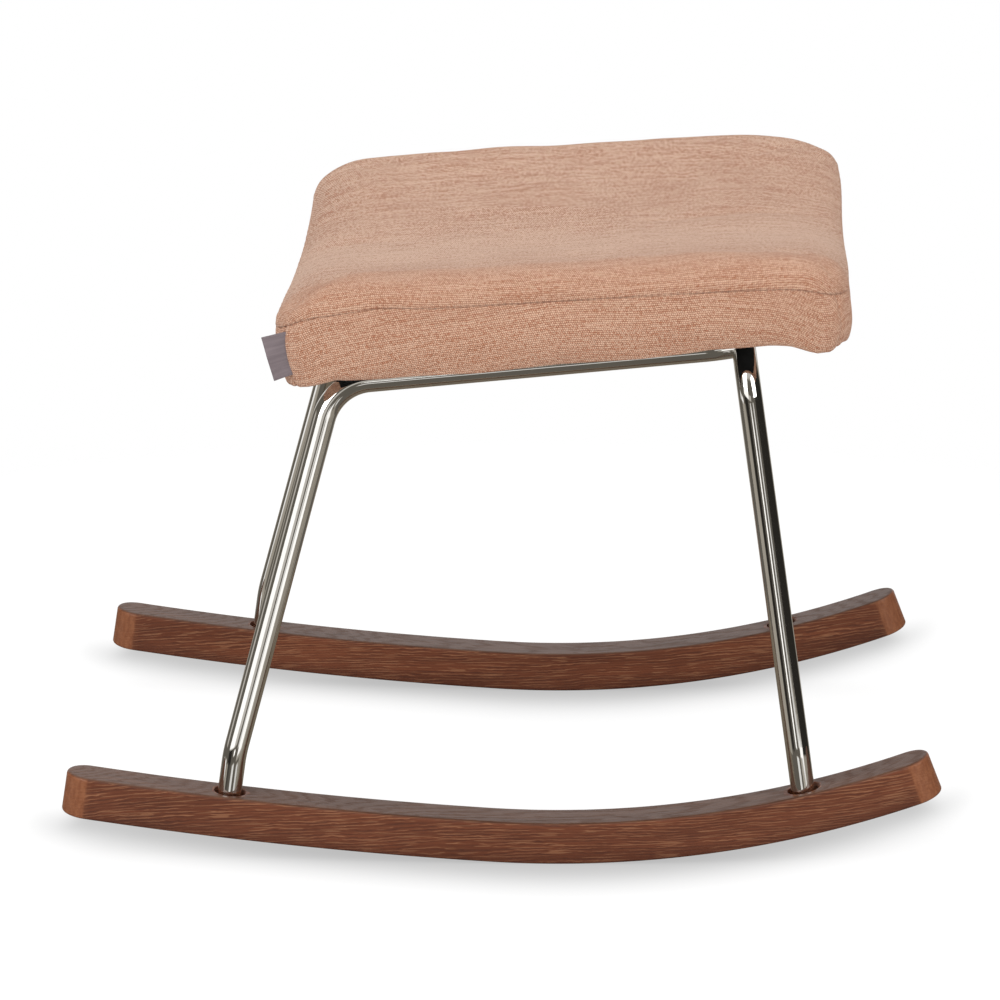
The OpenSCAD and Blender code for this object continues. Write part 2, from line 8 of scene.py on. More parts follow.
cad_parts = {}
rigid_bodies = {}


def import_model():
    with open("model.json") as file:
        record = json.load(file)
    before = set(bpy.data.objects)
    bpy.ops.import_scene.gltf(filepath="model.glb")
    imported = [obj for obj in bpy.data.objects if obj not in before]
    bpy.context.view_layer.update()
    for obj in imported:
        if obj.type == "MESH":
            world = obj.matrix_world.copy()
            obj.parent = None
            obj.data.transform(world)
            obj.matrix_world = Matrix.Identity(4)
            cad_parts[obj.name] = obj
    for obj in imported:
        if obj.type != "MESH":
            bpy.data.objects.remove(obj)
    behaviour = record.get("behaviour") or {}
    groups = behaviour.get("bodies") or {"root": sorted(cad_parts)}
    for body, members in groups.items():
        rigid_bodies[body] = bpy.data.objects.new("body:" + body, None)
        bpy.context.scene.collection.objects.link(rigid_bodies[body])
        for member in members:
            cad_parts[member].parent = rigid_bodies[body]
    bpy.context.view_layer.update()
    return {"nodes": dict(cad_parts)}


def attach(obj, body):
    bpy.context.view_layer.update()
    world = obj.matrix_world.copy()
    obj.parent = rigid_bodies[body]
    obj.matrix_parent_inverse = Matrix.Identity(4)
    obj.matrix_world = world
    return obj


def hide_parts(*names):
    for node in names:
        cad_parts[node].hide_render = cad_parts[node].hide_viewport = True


# Rocking footstool. Lengths in the dictionaries are millimetres, as in the part's source.

for thing in list(bpy.data.objects):
    bpy.data.objects.remove(thing)
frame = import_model()
nodes = frame["nodes"]
print("stage: frame loaded,", len(nodes), "nodes")

mm = 0.001


# Mesh helpers

def unit(v):
    v = np.asarray(v, float)
    return v / np.linalg.norm(v, axis=-1, keepdims=True)


def strung(*arrays):
    return np.concatenate(arrays)


# Angles of so many even steps round a circle
def roundSteps(count):
    return np.linspace(0, 2 * pi, count + 1)[:-1]


def pointsOf(*values):
    return np.stack(values, axis=-1)


def smoothStep(lo, hi, x):
    t = np.clip((x - lo) / (hi - lo), 0, 1)
    return t * t * (3 - 2 * t)


def hump(x, middle, width):
    return np.exp(-((x - middle) / width) ** 2)


# Cubic through values at 0, 1, 2 and so on, with slopes taken from the neighbours on each side
def smoothCurve(values, at):
    slope = np.gradient(values)
    i = np.minimum(at.astype(int), len(values) - 2)
    t = at - i
    return ((2 * t ** 3 - 3 * t ** 2 + 1) * values[i] + (t ** 3 - 2 * t ** 2 + t) * slope[i]
        + (3 * t ** 2 - 2 * t ** 3) * values[i + 1] + (t ** 3 - t ** 2) * slope[i + 1])


# Quads of a grid of rows by cols points; a closed direction wraps round to its start
def gridFaces(rows, cols, wrapRows=False, wrapCols=False):
    i, j = np.meshgrid(np.arange(rows if wrapRows else rows - 1),
        np.arange(cols if wrapCols else cols - 1), indexing="ij")
    i2, j2 = (i + 1) % rows, (j + 1) % cols
    quads = pointsOf(i * cols + j, i * cols + j2, i2 * cols + j2, i2 * cols + j)
    return quads.reshape(-1, 4)


def linked(name, data):
    thing = bpy.data.objects.new(name, data)
    bpy.context.collection.objects.link(thing)
    return thing


# A piece from points in millimetres, quads, and point values to keep as attributes. Points within the join
# distance of each other become one, and all faces turn outwards.
def makePiece(name, points, faces, values=None, smooth=True, extra=None, join=2e-6):
    mesh = bpy.data.meshes.new(name)
    mesh.from_pydata((points.reshape(-1, 3) * mm).tolist(), [], faces.tolist() + (extra or []))
    for key, value in (values or {}).items():
        kind = "FLOAT" if value.ndim == 1 else "FLOAT_VECTOR"
        layer = mesh.attributes.new(key, kind, "POINT")
        layer.data.foreach_set("value" if kind == "FLOAT" else "vector", value.astype(np.float32).ravel())
    mesh.update()
    piece = linked(name, mesh)
    mesh.polygons.foreach_set("use_smooth", [smooth] * len(mesh.polygons))
    if join:
        work = bmesh.new()
        work.from_mesh(mesh)
        bmesh.ops.remove_doubles(work, verts=work.verts, dist=join)
        bmesh.ops.recalc_face_normals(work, faces=work.faces)
        work.to_mesh(mesh)
        work.free()
        mesh.update()
    return piece


def applyModifiers(piece):
    graph = bpy.context.evaluated_depsgraph_get()
    result = piece.evaluated_get(graph)
    baked = bpy.data.meshes.new_from_object(result, preserve_all_data_layers=True, depsgraph=graph)
    piece.modifiers.clear()
    piece.data = baked


# Rockers

rockerLook = {"length": 590, "width": 32, "thickness": 28.5, "track": 392, "frontR": 715, "tailR": 3000,
    "contactX": 35, "change": 43, "edgeR": 2.2, "socketD": 21, "socketDepth": 13, "boltHoleD": 8.6,
    "headPocketD": 17, "web": 7, "runSteps": 150, "turnSteps": 31, "sharp": radians(50)}
legLook = {"leftX": -182, "rightX": 202, "lean": radians(8)}


# Centres of the front arc and the tail arc, which share a tangent, and the angle at which they meet
def rockerArcs():
    k = rockerLook
    change = np.arcsin(k["change"] / k["frontR"])
    far = k["tailR"] - k["frontR"]
    x, z = k["contactX"], k["frontR"]
    return change, (x, z), (x + far * sin(change), z + far * cos(change))


# Middle line of a rocker at length s from the contact point: x, z and the slope angle there
def rockerCurve(s):
    k = rockerLook
    change, front, tail = rockerArcs()
    rFront, rTail = k["frontR"] - k["thickness"] / 2, k["tailR"] - k["thickness"] / 2
    onTail = s < -rFront * change
    a = np.where(onTail, -change + (s + rFront * change) / rTail, s / rFront)
    r = np.where(onTail, rTail, rFront)
    x, z = (np.where(onTail, tail[i], front[i]) for i in range(2))
    return x + r * sin(a), z - r * cos(a), a


# Lengths along the middle line at which the round noses start, so that they reach the overall length
def rockerEnds():
    k = rockerLook
    furthest, perUnit = 330, 10
    s = np.linspace(-furthest, furthest, 2 * furthest * perUnit + 1)
    x, z, a = rockerCurve(s)
    over = k["width"] / 2 * cos(a) + k["thickness"] / 2 * np.abs(sin(a))
    right = s[np.argmin(np.abs(x + over - k["length"] / 2))]
    left = s[np.argmin(np.abs(x - over + k["length"] / 2))]
    return left, right


def rockerTopZ(x):
    k = rockerLook
    front, tail = rockerArcs()[1:]
    onTail = x < k["contactX"] - k["change"]
    (cx, cz), r = (tail, k["tailR"]) if onTail else (front, k["frontR"])
    return cz - np.sqrt((r - k["thickness"]) ** 2 - (x - cx) ** 2)


# Floor point of a foot's socket and the direction in which the foot rises
def footFrame(x, side):
    lean = legLook["lean"]
    up = np.array([sin(lean) if x < 0 else -sin(lean), 0, cos(lean)])
    base = np.array([x, side * rockerLook["track"] / 2, rockerTopZ(x)])
    return base - up * rockerLook["socketDepth"], up


# Plan outline, a bar with two half-round ends, times an edge profile from the middle of the top over
# the rounded edge and the side to the middle of the bottom; the length is laid on the two arcs
def makeRocker(name, side):
    k = rockerLook
    half, t2, e = k["width"] / 2, k["thickness"] / 2, k["edgeR"]
    run, bend = k["runSteps"], k["turnSteps"]
    left, right = rockerEnds()
    turn = np.linspace(-90, 90, bend + 2)[1:-1]
    runs = np.linspace(left, right, run)
    along = strung(runs, np.full(bend, right), runs[::-1], np.full(bend, left))
    facing = radians(strung(np.full(run, -90), turn, np.full(run, 90), 180 + turn))
    q = radians(np.linspace(0, 90, 7))
    inner = half * np.array([1, 0.72, 0.45, 0.25])
    inset = strung(inner, e * (1 - sin(q)), np.zeros(5), e * (1 - cos(q)), inner[::-1])
    rise = strung(np.full(4, t2), t2 - e * (1 - cos(q)), np.linspace(t2 - e, e - t2, 7)[1:-1],
        -t2 + e * (1 - sin(q)), np.full(4, -t2))
    out = half - inset
    s = along[:, None] + out * cos(facing)[:, None]
    w = out * sin(facing)[:, None]
    n = np.broadcast_to(rise, s.shape)
    x, z, a = rockerCurve(s)
    points = pointsOf(x - n * sin(a), w + side * k["track"] / 2, z + n * cos(a))
    place = pointsOf(s, w, n).reshape(-1, 3) * mm
    past = np.maximum(s - right, left - s)
    piece = makePiece(name, points, gridFaces(s.shape[0], s.shape[1], wrapRows=True),
        {"barPlace": place, "endShare": smoothStep(-0.2, 0.5, past).ravel()})
    for x0 in (legLook["leftX"], legLook["rightX"]):
        cutSocket(piece, x0, side)
    piece.data.set_sharp_from_angle(angle=rockerLook["sharp"])
    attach(piece, "root")
    return piece


# A turned cutter on the foot's axis: head pocket below, bolt hole, then the leg's socket with a small
# chamfer at its mouth
def cutSocket(piece, x, side):
    k = rockerLook
    foot, up = footFrame(x, side)
    edge, past, below = 0.5, 12, -40
    head, hole, socket = k["headPocketD"] / 2, k["boltHoleD"] / 2, k["socketD"] / 2
    depth, web = k["socketDepth"], k["web"]
    profile = np.array([(0, below), (head, below), (head, -web), (hole, -web), (hole, 0), (socket, 0),
        (socket, depth - edge), (socket + edge + past, depth + past), (0, depth + past)])
    sides = 96
    a = roundSteps(sides)
    across = unit(np.cross(up, [0, 1, 0]))
    other = np.cross(up, across)
    ring = cos(a)[:, None] * across + sin(a)[:, None] * other
    points = foot + profile[:, None, 1:2] * up + profile[:, None, 0:1] * ring
    cutter = makePiece("cutter", points, gridFaces(len(profile), sides, wrapCols=True), smooth=False)
    cut = piece.modifiers.new("socket", "BOOLEAN")
    cut.operation, cut.solver, cut.object = "DIFFERENCE", "EXACT", cutter
    applyModifiers(piece)
    bpy.data.objects.remove(cutter)


# Bent tubes

tubeLook = {"d": 16, "sides": 56, "bendStep": radians(2.2), "straightStep": 12}
frameLook = {"footRise": 27, "footBendR": 60, "kneeX": -112.7, "kneeR": 35, "railY": 147, "railZ": 325.9,
    "tilt": radians(5.5), "hoopX": 160.3, "hoopY": 163, "hoopR": 38, "turn": radians(27), "turnR": 55,
    "plug": 2.5, "crossX": -42.03, "crossInset": 6}


def railHeight(x):
    return frameLook["railZ"] + x * tan(frameLook["tilt"])


# Points of a straight length after its first one
def straightSteps(start, stop):
    count = max(2, int(np.linalg.norm(stop - start) / tubeLook["straightStep"]))
    return list(start + (stop - start) * np.linspace(0, 1, count)[1:, None])


# Middle line of a bent tube: straight lengths joined by arcs of the given radii, tangent at both ends.
# Gives points and directions.
def tubeLine(corners, radii):
    corners = [np.asarray(c, float) for c in corners]
    points, dirs = [corners[0]], [unit(corners[1] - corners[0])]
    for before, here, after, r in zip(corners[:-2], corners[1:-1], corners[2:], radii[1:-1]):
        d, e = unit(here - before), unit(after - here)
        turn = np.arccos(np.clip(d @ e, -1, 1))
        inward = unit(e - d * (d @ e))
        centre = here + (inward - d * tan(turn / 2)) * r
        a = np.linspace(0, turn, int(np.ceil(turn / tubeLook["bendStep"])) + 2)[:, None]
        straight = straightSteps(points[-1], centre - inward * r)[:-1]
        points += straight
        dirs += [d] * len(straight)
        points += list(centre + (d * sin(a) - inward * cos(a)) * r)
        dirs += list(d * cos(a) + inward * sin(a))
    straight = straightSteps(points[-1], corners[-1])
    points += straight
    dirs += [unit(corners[-1] - corners[-2])] * len(straight)
    return np.array(points), np.array(dirs)


# A circle carried along the tube's middle line, its first direction square to a fixed reference
def makeTube(name, corners, radii, reference):
    line, dirs = tubeLine(corners, radii)
    across = unit(np.cross(dirs, reference))[:, None]
    other = np.cross(dirs, across[:, 0])[:, None]
    m = tubeLook["sides"]
    a = roundSteps(m)[:, None]
    points = line[:, None] + tubeLook["d"] / 2 * (cos(a) * across + sin(a) * other)
    n = len(line)
    caps = [list(range(m))[::-1], [(n - 1) * m + i for i in range(m)]]
    piece = makePiece(name, points, gridFaces(n, m, wrapCols=True), extra=caps)
    piece.data.set_sharp_from_angle(angle=rockerLook["sharp"])
    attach(piece, "root")
    return piece


def sideCorners(side):
    k = frameLook
    socketFloor, up = footFrame(legLook["leftX"], side)
    turnX = k["hoopX"] - k["turnR"] * tan(k["turn"] / 2)
    endX = k["hoopX"] + tubeLook["d"] / 8
    endY = k["railY"] - (endX - turnX) * tan(k["turn"])
    return [socketFloor + up * k["plug"], socketFloor + up * (rockerLook["socketDepth"] + k["footRise"]),
        [k["kneeX"], side * k["railY"], railHeight(k["kneeX"])],
        [turnX, side * k["railY"], railHeight(turnX)], [endX, side * endY, railHeight(endX)]]


def hoopCorners():
    k = frameLook
    near, upNear = footFrame(legLook["rightX"], -1)
    far, upFar = footFrame(legLook["rightX"], 1)
    rise = rockerLook["socketDepth"] + k["footRise"]
    knees = [[k["hoopX"], y, railHeight(k["hoopX"])] for y in (-k["hoopY"], k["hoopY"])]
    return [near + upNear * k["plug"], near + upNear * rise, *knees, far + upFar * rise,
        far + upFar * k["plug"]]


# Cushion

cushionLook = {"seatX": 42.5, "length": 377, "width": 376, "cornerR": 26, "hem": 3, "panelInset": 32,
    "turnedUnder": 46, "seam": 43, "seamDip": 9, "seamRiseShare": 0.6, "crest": 73, "farRise": 16,
    "saddle": 17, "roll": 28, "lean": 12, "leftDroop": 2, "rightDroop": 9, "sag": 2.2, "endDrop": 3,
    "draw": 2.5, "endLean": radians(5.5), "skew": 0.028, "rightBulge": 6.0, "leftTuck": 5.5,
    "rightSlump": 9, "leftSlump": 3.5, "groove": 0.28, "grooveWidth": 0.6, "ridge": 0.22, "ridgeAt": 5.2,
    "pucker": 0.3, "cornerGroove": 0.5, "cornerRidge": 0.25, "fold": 1.2, "opened": 22, "arcSteps": 20,
    "flatSteps": 84, "borderRings": 53, "rollRings": 36, "innerRings": 45}
# Border from the turned-under hem up to the top seam: inset, share of the height, share of the hem's sag
borderProfile = np.array([(cushionLook["turnedUnder"], 0, 0), (30, 0, 0), (14, 0, 0), (8, 0, 0), (5, 0, 0.6),
    (2.6, 0, 1), (0.9, 0.07, 0.75), (-0.3, 0.2, 0.25), (-1.2, 0.42, 0), (-1.0, 0.7, 0),
    (-0.4, 0.88, 0), (0.15, 0.955, 0), (0.7, 0.985, 0), (cushionLook["groove"], 1, 0)])
# Irregular hem of the near side: places along the seat, and how far it hangs below the plain hem there
nearHem = np.array([(-190, 2), (-171, 2.6), (-156, 1.1), (-135, 1.8), (-110, 2.6), (-57, 4.8), (-4, 3.6),
    (49, 5.1), (82, 4.2), (96, 3.0), (135, 3.6), (148, 5.2), (160, 9.2), (166, 10.2),
    (174, 8.6), (183, 1.5), (192, 0)]).T
# Unevenness of the near seam: height, place along the seat, width
nearSeam = [(2.4, -118, 24), (-5.0, -188, 16), (-4.4, 182, 18)]
# Slow swells of the stuffing: height, waves per metre along and across, shift
swells = [(0.45, 9, 4, 0.3), (0.35, -6, 11, 1.7), (0.25, 17, 7, 4.1), (0.18, 5, 23, 2.6)]
puffLook = {"rowStep": 3, "colStep": 4, "cap": 4.8, "pressure": 4.0, "frames": 20, "broad": 16,
    "share": 0.5, "middle": 45}


# Ranges in which a change of the form comes in, from none of it to all: along the seat, across it, and by
# height, by the length climbed from the hem, or by that length counted from the top seam
formRanges = {"risen": (0, 40), "bulgeX": (60, 188), "tuckX": (-130, -186), "tuckY": (-118, -170),
    "tuckZ": (48, 60), "nearSeam": (-110, -180), "nearHem": (-150, -178), "rightX": (92, 192),
    "rightY": (-230, 120), "leftX": (-128, -190), "leftY": (40, 170), "puffOff": (0, 14), "swellOff": (2, 12),
    "swellClimb": (40, 60), "puckerOff": (0.6, 3), "underSeam": (0.4, -0.4), "borderClimb": (42, 48),
    "foldY": (-150, -175)}


def comesIn(name, x):
    return smoothStep(*formRanges[name], x)


# Seat frame to the stool's frame: turned by the seat's slope and set on the rails
def seatToWorld(points):
    k, t = cushionLook, frameLook["tilt"]
    x, y, z = points[..., 0], points[..., 1], points[..., 2]
    z0 = railHeight(k["seatX"]) + tubeLook["d"] / 2 / cos(t)
    worldX = k["seatX"] + x * cos(t) - z * sin(t)
    return pointsOf(worldX, y, z0 + x * sin(t) + z * cos(t))


# Seat outline seen from above: a rounded rectangle whose sides are drawn in by a cosine, walked round
# from the near left corner, with its points close together at the corner seams. Gives points and the
# length walked.
def planOutline():
    k = cushionLook
    r, arc, flat = k["cornerR"], k["arcSteps"], k["flatSteps"]
    q = np.arange(2 * arc + flat)
    fromSeam = np.minimum(q, 2 * arc + flat - q) / arc
    angle = 45 * (1 - np.clip(fromSeam, 0, 1) ** 1.6)
    a = radians(np.where(q < arc, -angle, angle))

    def sidePoints(l, d):
        t = np.where(q < arc, -(l - r), np.where(q > arc + flat, l - r, (l - r) * (2 * (q - arc) / flat - 1)))
        return t + r * sin(a), d - r + r * cos(a) - k["draw"] * cos(pi / 2 * t / (l - r))

    l, w = k["length"] / 2, k["width"] / 2
    ax, ay = sidePoints(l, w)
    bx, by = sidePoints(w, l)
    out = pointsOf(strung(ax, by, -ax, -by), strung(-ay, bx, ay, -bx))
    step = np.linalg.norm(np.roll(out, -1, axis=0) - out, axis=1)
    return out, strung([0], np.cumsum(step)[:-1]), step.sum()


def leanAt(x):
    return -cushionLook["lean"] * x / cushionLook["length"]


def crestY():
    return cushionLook["width"] / 2 - cushionLook["roll"] / 2


def riseAt(y):
    return cushionLook["farRise"] * np.clip(y / crestY(), -1, 1) / 2


# Height of the top seam: falls to the right, dips at the middle of the ends, and sits a little unevenly
# along the near side
def seamHeight(x, y):
    k = cushionLook
    near = comesIn("nearSeam", y)
    uneven = sum(height * hump(x, at, width) for height, at, width in nearSeam)
    return (k["seam"] + leanAt(x) + k["seamRiseShare"] * (k["farRise"] / 2 + riseAt(y))
        - k["seamDip"] * (1 - np.abs(y / (k["width"] / 2)) ** 2.5)
        - k["endDrop"] * np.abs(x / (k["length"] / 2)) ** 6 + near * uneven)


# Height of the top: two crests with a hollow between them, slumping towards the right end and the far
# left corner
def saddleHeight(x, y):
    k = cushionLook
    hollow = k["saddle"] * (1 - np.minimum(1, np.abs(y) / crestY()) ** 2.2)
    slump = (k["rightSlump"] * comesIn("rightX", x) * comesIn("rightY", y)
        + k["leftSlump"] * comesIn("leftX", x) * comesIn("leftY", y))
    return (k["crest"] + leanAt(x) + riseAt(y) - hollow
        - k["endDrop"] * np.abs(x / (k["length"] / 2)) ** 4 - slump)


def underHeight(x):
    k = cushionLook
    over = np.maximum(0, np.abs(x) - k["length"] / 2 + k["panelInset"]) / k["panelInset"]
    return k["hem"] - np.where(x < 0, k["leftDroop"], k["rightDroop"]) * over ** 2


# The whole cover leans to the right as it rises, is a little askew, its right end swells and its near left
# corner is drawn in above the seam
def settle(rings):
    k = cushionLook
    x, y, z = rings[..., 0], rings[..., 1], rings[..., 2]
    risen = comesIn("risen", z)
    along = np.clip(y * 2 / k["width"], -1, 1)
    bulge = k["rightBulge"] * (1 - along ** 4) * comesIn("bulgeX", x)
    corner = comesIn("tuckX", x) * comesIn("tuckY", y)
    bulge = bulge + k["leftTuck"] * corner * comesIn("tuckZ", z)
    return pointsOf(x + z * tan(k["endLean"]) + k["skew"] * y * risen + bulge * risen, y, z)


# The plan outline scaled in by each ring's inset
def insetOutline(outline, inset):
    return (outline[:, 0] * (1 - inset / (cushionLook["length"] / 2)),
        outline[:, 1] * (1 - inset / (cushionLook["width"] / 2)))


# Closed cushion as rings round the plan outline: hem under the board, up the border to the top seam,
# over the roll and in to the middle. Each ring is the outline scaled in by its inset.
def cushionShell():
    k = cushionLook
    outline, walked, around = planOutline()
    v = np.linspace(0, len(borderProfile) - 1, k["borderRings"])
    inset, share, sag = (smoothCurve(column, v)[:, None] for column in borderProfile.T)
    x, y = insetOutline(outline, inset)
    seamZ = seamHeight(*outline.T)
    low = underHeight(x)
    near = comesIn("nearHem", y)
    hang = k["sag"] * (1 - near) + near * np.interp(x, *nearHem)
    border = pointsOf(x, y, low + np.clip(share, 0, 1) * (seamZ - low) - sag * hang)
    a = radians(90 * (np.arange(1, k["rollRings"] + 1) / k["rollRings"]) ** 1.5)
    rollIn = k["roll"] * (1 - cos(a)) + k["groove"] * np.exp(-k["roll"] * a / k["grooveWidth"])
    inwards = np.linspace(k["roll"], k["width"] / 2, k["innerRings"] + 1)[1:-1]
    inset = strung(rollIn, inwards)[:, None]
    up = strung(sin(a), np.ones(len(inwards)))[:, None]
    x, y = insetOutline(outline, inset)
    top = pointsOf(x, y, seamZ + (saddleHeight(x, y) - seamZ) * up)
    return settle(strung(border, top)), len(border), walked, around


# Outward direction at each point of closed rings, from its neighbours along and across
def ringNormals(rings):
    alongRing = np.roll(rings, -1, axis=1) - np.roll(rings, 1, axis=1)
    acrossRing = np.gradient(rings, axis=0)
    return unit(np.cross(alongRing, acrossRing) + 1e-9)


# Rows by columns of straight-line weights that carry a thinned-out series back to every place
def spreadWeights(kept, count):
    return np.stack([np.interp(np.arange(count), kept, row) for row in np.eye(len(kept))], axis=1)


def soften(field, times):
    for _ in range(times):
        field = (np.roll(field, 1, axis=1) + 2 * field + np.roll(field, -1, axis=1)) / 4
        padded = strung(field[:1], field, field[-1:])
        field = (padded[:-2] + 2 * field + padded[2:]) / 4
    return field


# Points of closed rings with one more in the middle of the first ring and one in the middle of the last,
# and the triangles that reach to these two
def closedRings(rings):
    rows, n = rings.shape[:2]
    points = strung(rings.reshape(-1, 3), [rings[0].mean(axis=0), rings[-1].mean(axis=0)])
    last = (rows - 1) * n
    fans = [[i, rows * n, (i + 1) % n] for i in range(n)]
    fans += [[last + i, last + (i + 1) % n, rows * n + 1] for i in range(n)]
    return points, fans


# Blows the cover up: some rings and columns become a cloth with inside pressure, with hem and seam held.
# A share of its capped movement, less the broad part, because the broad form is measured from the
# photograph, is carried back to all points of the rings.
def puffUp(rings, climb, seamRow):
    k = puffLook
    count, around = rings.shape[:2]
    mean = climb.mean(axis=1)
    hemEnd = cushionLook["turnedUnder"] - 5
    free = comesIn("puffOff", np.abs(mean - mean[seamRow])) * comesIn("puffOff", mean - hemEnd)
    free = free * smoothStep(5, k["middle"], mean[-1] - mean)
    rows = np.unique(strung(np.arange(0, count, k["rowStep"]), [seamRow, count - 1]))
    cols = np.arange(0, around, k["colStep"])
    start = rings[rows][:, cols]
    n = len(cols)
    points, fans = closedRings(start)
    cover = makePiece("coverCloth", points, gridFaces(len(rows), n, wrapCols=True), extra=fans, join=None)
    held = cover.vertex_groups.new(name="held")
    still = np.repeat(free[rows] < 0.02, n)
    held.add([int(i) for i in np.flatnonzero(np.append(still, [True, False]))], 1.0, "REPLACE")
    cloth = cover.modifiers.new("cover", "CLOTH")
    cloth.settings.use_pressure = True
    cloth.settings.uniform_pressure_force = k["pressure"]
    cloth.settings.vertex_group_mass = "held"
    cloth.settings.effector_weights.gravity = 0
    cloth.point_cache.frame_start, cloth.point_cache.frame_end = 1, k["frames"]
    for step in range(1, k["frames"] + 1):
        bpy.context.scene.frame_set(step)
    graph = bpy.context.evaluated_depsgraph_get()
    blown = cover.evaluated_get(graph).data
    ending = np.empty(len(blown.vertices) * 3)
    blown.vertices.foreach_get("co", ending)
    moved = ending.reshape(-1, 3)[:-2].reshape(start.shape) / mm - start
    length = np.linalg.norm(moved, axis=-1, keepdims=True)
    moved = moved * np.minimum(1, k["cap"] / np.maximum(length, 1e-6))
    print("stage: cover cloth moved", round(length.mean(), 2), "mm, at most", round(length.max(), 2))
    bpy.data.objects.remove(cover)
    bpy.context.scene.frame_set(1)
    change = k["share"] * (moved - soften(moved, k["broad"])) * free[rows][:, None, None]
    wrapped = np.concatenate([change, change[:, :1]], axis=1)
    change = np.einsum("ia,jb,abk->ijk", spreadWeights(rows, count),
        spreadWeights(np.append(cols, around), around), wrapped)
    return rings + soften(change, 4) * free[:, None, None]


# Small relief pushed along the outward direction: slow swells, puckers along the seam, a ridge where the
# seam's spare cloth lies under the top, grooves down the corner seams and a short fold by the near left hem
def roughen(rings, climb, above, walked, around):
    k = cushionLook
    normals = ringNormals(rings)
    x, y, z = rings[..., 0], rings[..., 1], rings[..., 2]
    away = np.abs(above)
    swell = sum(h * sin(2 * pi * (fx * x * mm + fy * y * mm) + shift) for h, fx, fy, shift in swells)
    pucker = k["pucker"] * sin(2 * pi * walked / 14.3 + 2.1 * sin(walked / 37)) * sin(walked / 61)
    push = swell * comesIn("swellOff", away) * comesIn("swellClimb", climb)
    push = push + pucker * np.exp(-away / 7) * comesIn("puckerOff", away)
    push = push + k["ridge"] * hump(above, k["ridgeAt"], 1.3)
    quarter = len(walked) // 4
    starts = np.append(walked[::quarter][:4], around)
    toCorner = np.abs(walked[:, None] - starts).min(axis=1)
    onBorder = comesIn("underSeam", above) * comesIn("borderClimb", climb)
    cornerSeam = k["cornerGroove"] * hump(toCorner, 0, 0.8) - k["cornerRidge"] * hump(toCorner, 3.5, 1.5)
    push = push - onBorder * cornerSeam
    fold = hump(x + 0.35 * z, -150, 2.6) * hump(z, 6, 9)
    push = push - k["fold"] * fold * comesIn("foldY", y)
    return rings + normals * push[..., None], toCorner


def makeCushion():
    rings, seamCount, walked, around = cushionShell()
    seamRow = seamCount - 1
    step = np.linalg.norm(np.diff(rings, axis=0), axis=2)
    climb = strung(np.zeros((1, rings.shape[1])), np.cumsum(step, axis=0))
    rings = puffUp(rings, climb, seamRow)
    above = climb - climb[seamRow]
    rings, toCorner = roughen(rings, climb, above, walked, around)
    k, (count, n) = cushionLook, rings.shape[:2]
    points, fans = closedRings(rings)
    # Place on the cloth: the plan, opened out, on the top, and length round by height on the border
    onTop = np.arange(count) > seamRow
    lengthRound = np.broadcast_to(walked, climb.shape)
    middle = climb[-1] + (k["width"] / 2 - k["roll"]) / k["innerRings"]
    reach = np.minimum((middle - climb) / (middle - climb[seamRow]), 1)
    topPlace = rings[seamRow, :, :2] * (1 + k["opened"] / (k["width"] / 2)) * reach[..., None]
    place = np.where(onTop[:, None, None], topPlace, pointsOf(lengthRound, climb)).reshape(-1, 2)
    place = np.pad(place, ((0, 2), (0, 1)))
    # Place at the seams: length round, height over the top seam and distance from the corner seam
    farOff = 50.0
    corner = np.where(above < 0.5, toCorner, farOff)
    seamPlace = strung(pointsOf(lengthRound, above, corner).reshape(-1, 3), np.full((2, 3), farOff))
    topShare = np.append(np.repeat(onTop, n), [False, True]).astype(float)
    piece = makePiece("cushion", seatToWorld(points), gridFaces(count, n, wrapCols=True),
        {"clothPlace": place * mm, "seamPlace": seamPlace * mm, "onTop": topShare}, extra=fans, join=1e-7)
    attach(piece, "root")
    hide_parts("cover_top", "near_border", "right_border", "far_border", "left_border", "foam_core")
    return piece


# Label

labelLook = {"corners": [(-198.1, 35.4), (-184.6, 37.6), (-179.1, 9.2), (-192.7, 5.7)], "y": -181.5,
    "thick": 1.3, "tuck": 3.0, "curl": 1.2, "ripple": 0.35, "faceSteps": 15, "rows": 33}


# A folded ribbon: a flattened loop, round at its free edge, set between four corners (top left, top right,
# bottom right, bottom left), tucked into the corner seam and bowed a little
def makeLabel():
    k = labelLook
    n = k["faceSteps"]
    topLeft, topRight, bottomRight, bottomLeft = (np.array(corner) for corner in k["corners"])
    r = k["thick"] / 2
    wide, length = np.linalg.norm(topRight - topLeft), np.linalg.norm(topRight - bottomRight)
    a = radians(np.linspace(90, 270, 13))
    face = np.linspace(-k["tuck"], wide - r, n + 1)[:-1]
    back = np.linspace(wide - r, -k["tuck"], n + 1)[1:]
    reach = strung(face, wide - r - r * cos(a), back) / wide
    across = strung(np.full(n, r), r * sin(a), np.full(n, -r))
    v = np.linspace(0, 1, k["rows"])[:, None]
    inner = bottomRight + (topRight - bottomRight) * v
    outer = bottomLeft + (topLeft - bottomLeft) * v
    flat = inner[:, None] + (outer - inner)[:, None] * reach[:, None]
    bow = k["curl"] * np.clip(reach, 0, 1) ** 2 * cos(pi * (v - 0.35))
    y = k["y"] + across - bow + k["ripple"] * sin(9 * v) * reach
    seat = pointsOf(flat[..., 0], y, flat[..., 1])
    m = len(reach)
    caps = [list(range(m)), [(len(v) - 1) * m + i for i in range(m)][::-1]]
    place = pointsOf(reach * wide + 0 * v, v * length + 0 * reach, 0 * y)
    piece = makePiece("cornerLabel", seatToWorld(seat), gridFaces(len(v), m, wrapCols=True),
        {"clothPlace": place.reshape(-1, 3) * mm}, extra=caps, join=1e-7)
    piece.data.set_sharp_from_angle(angle=radians(60))
    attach(piece, "root")
    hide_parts("corner_label")
    return piece


# Shader helpers

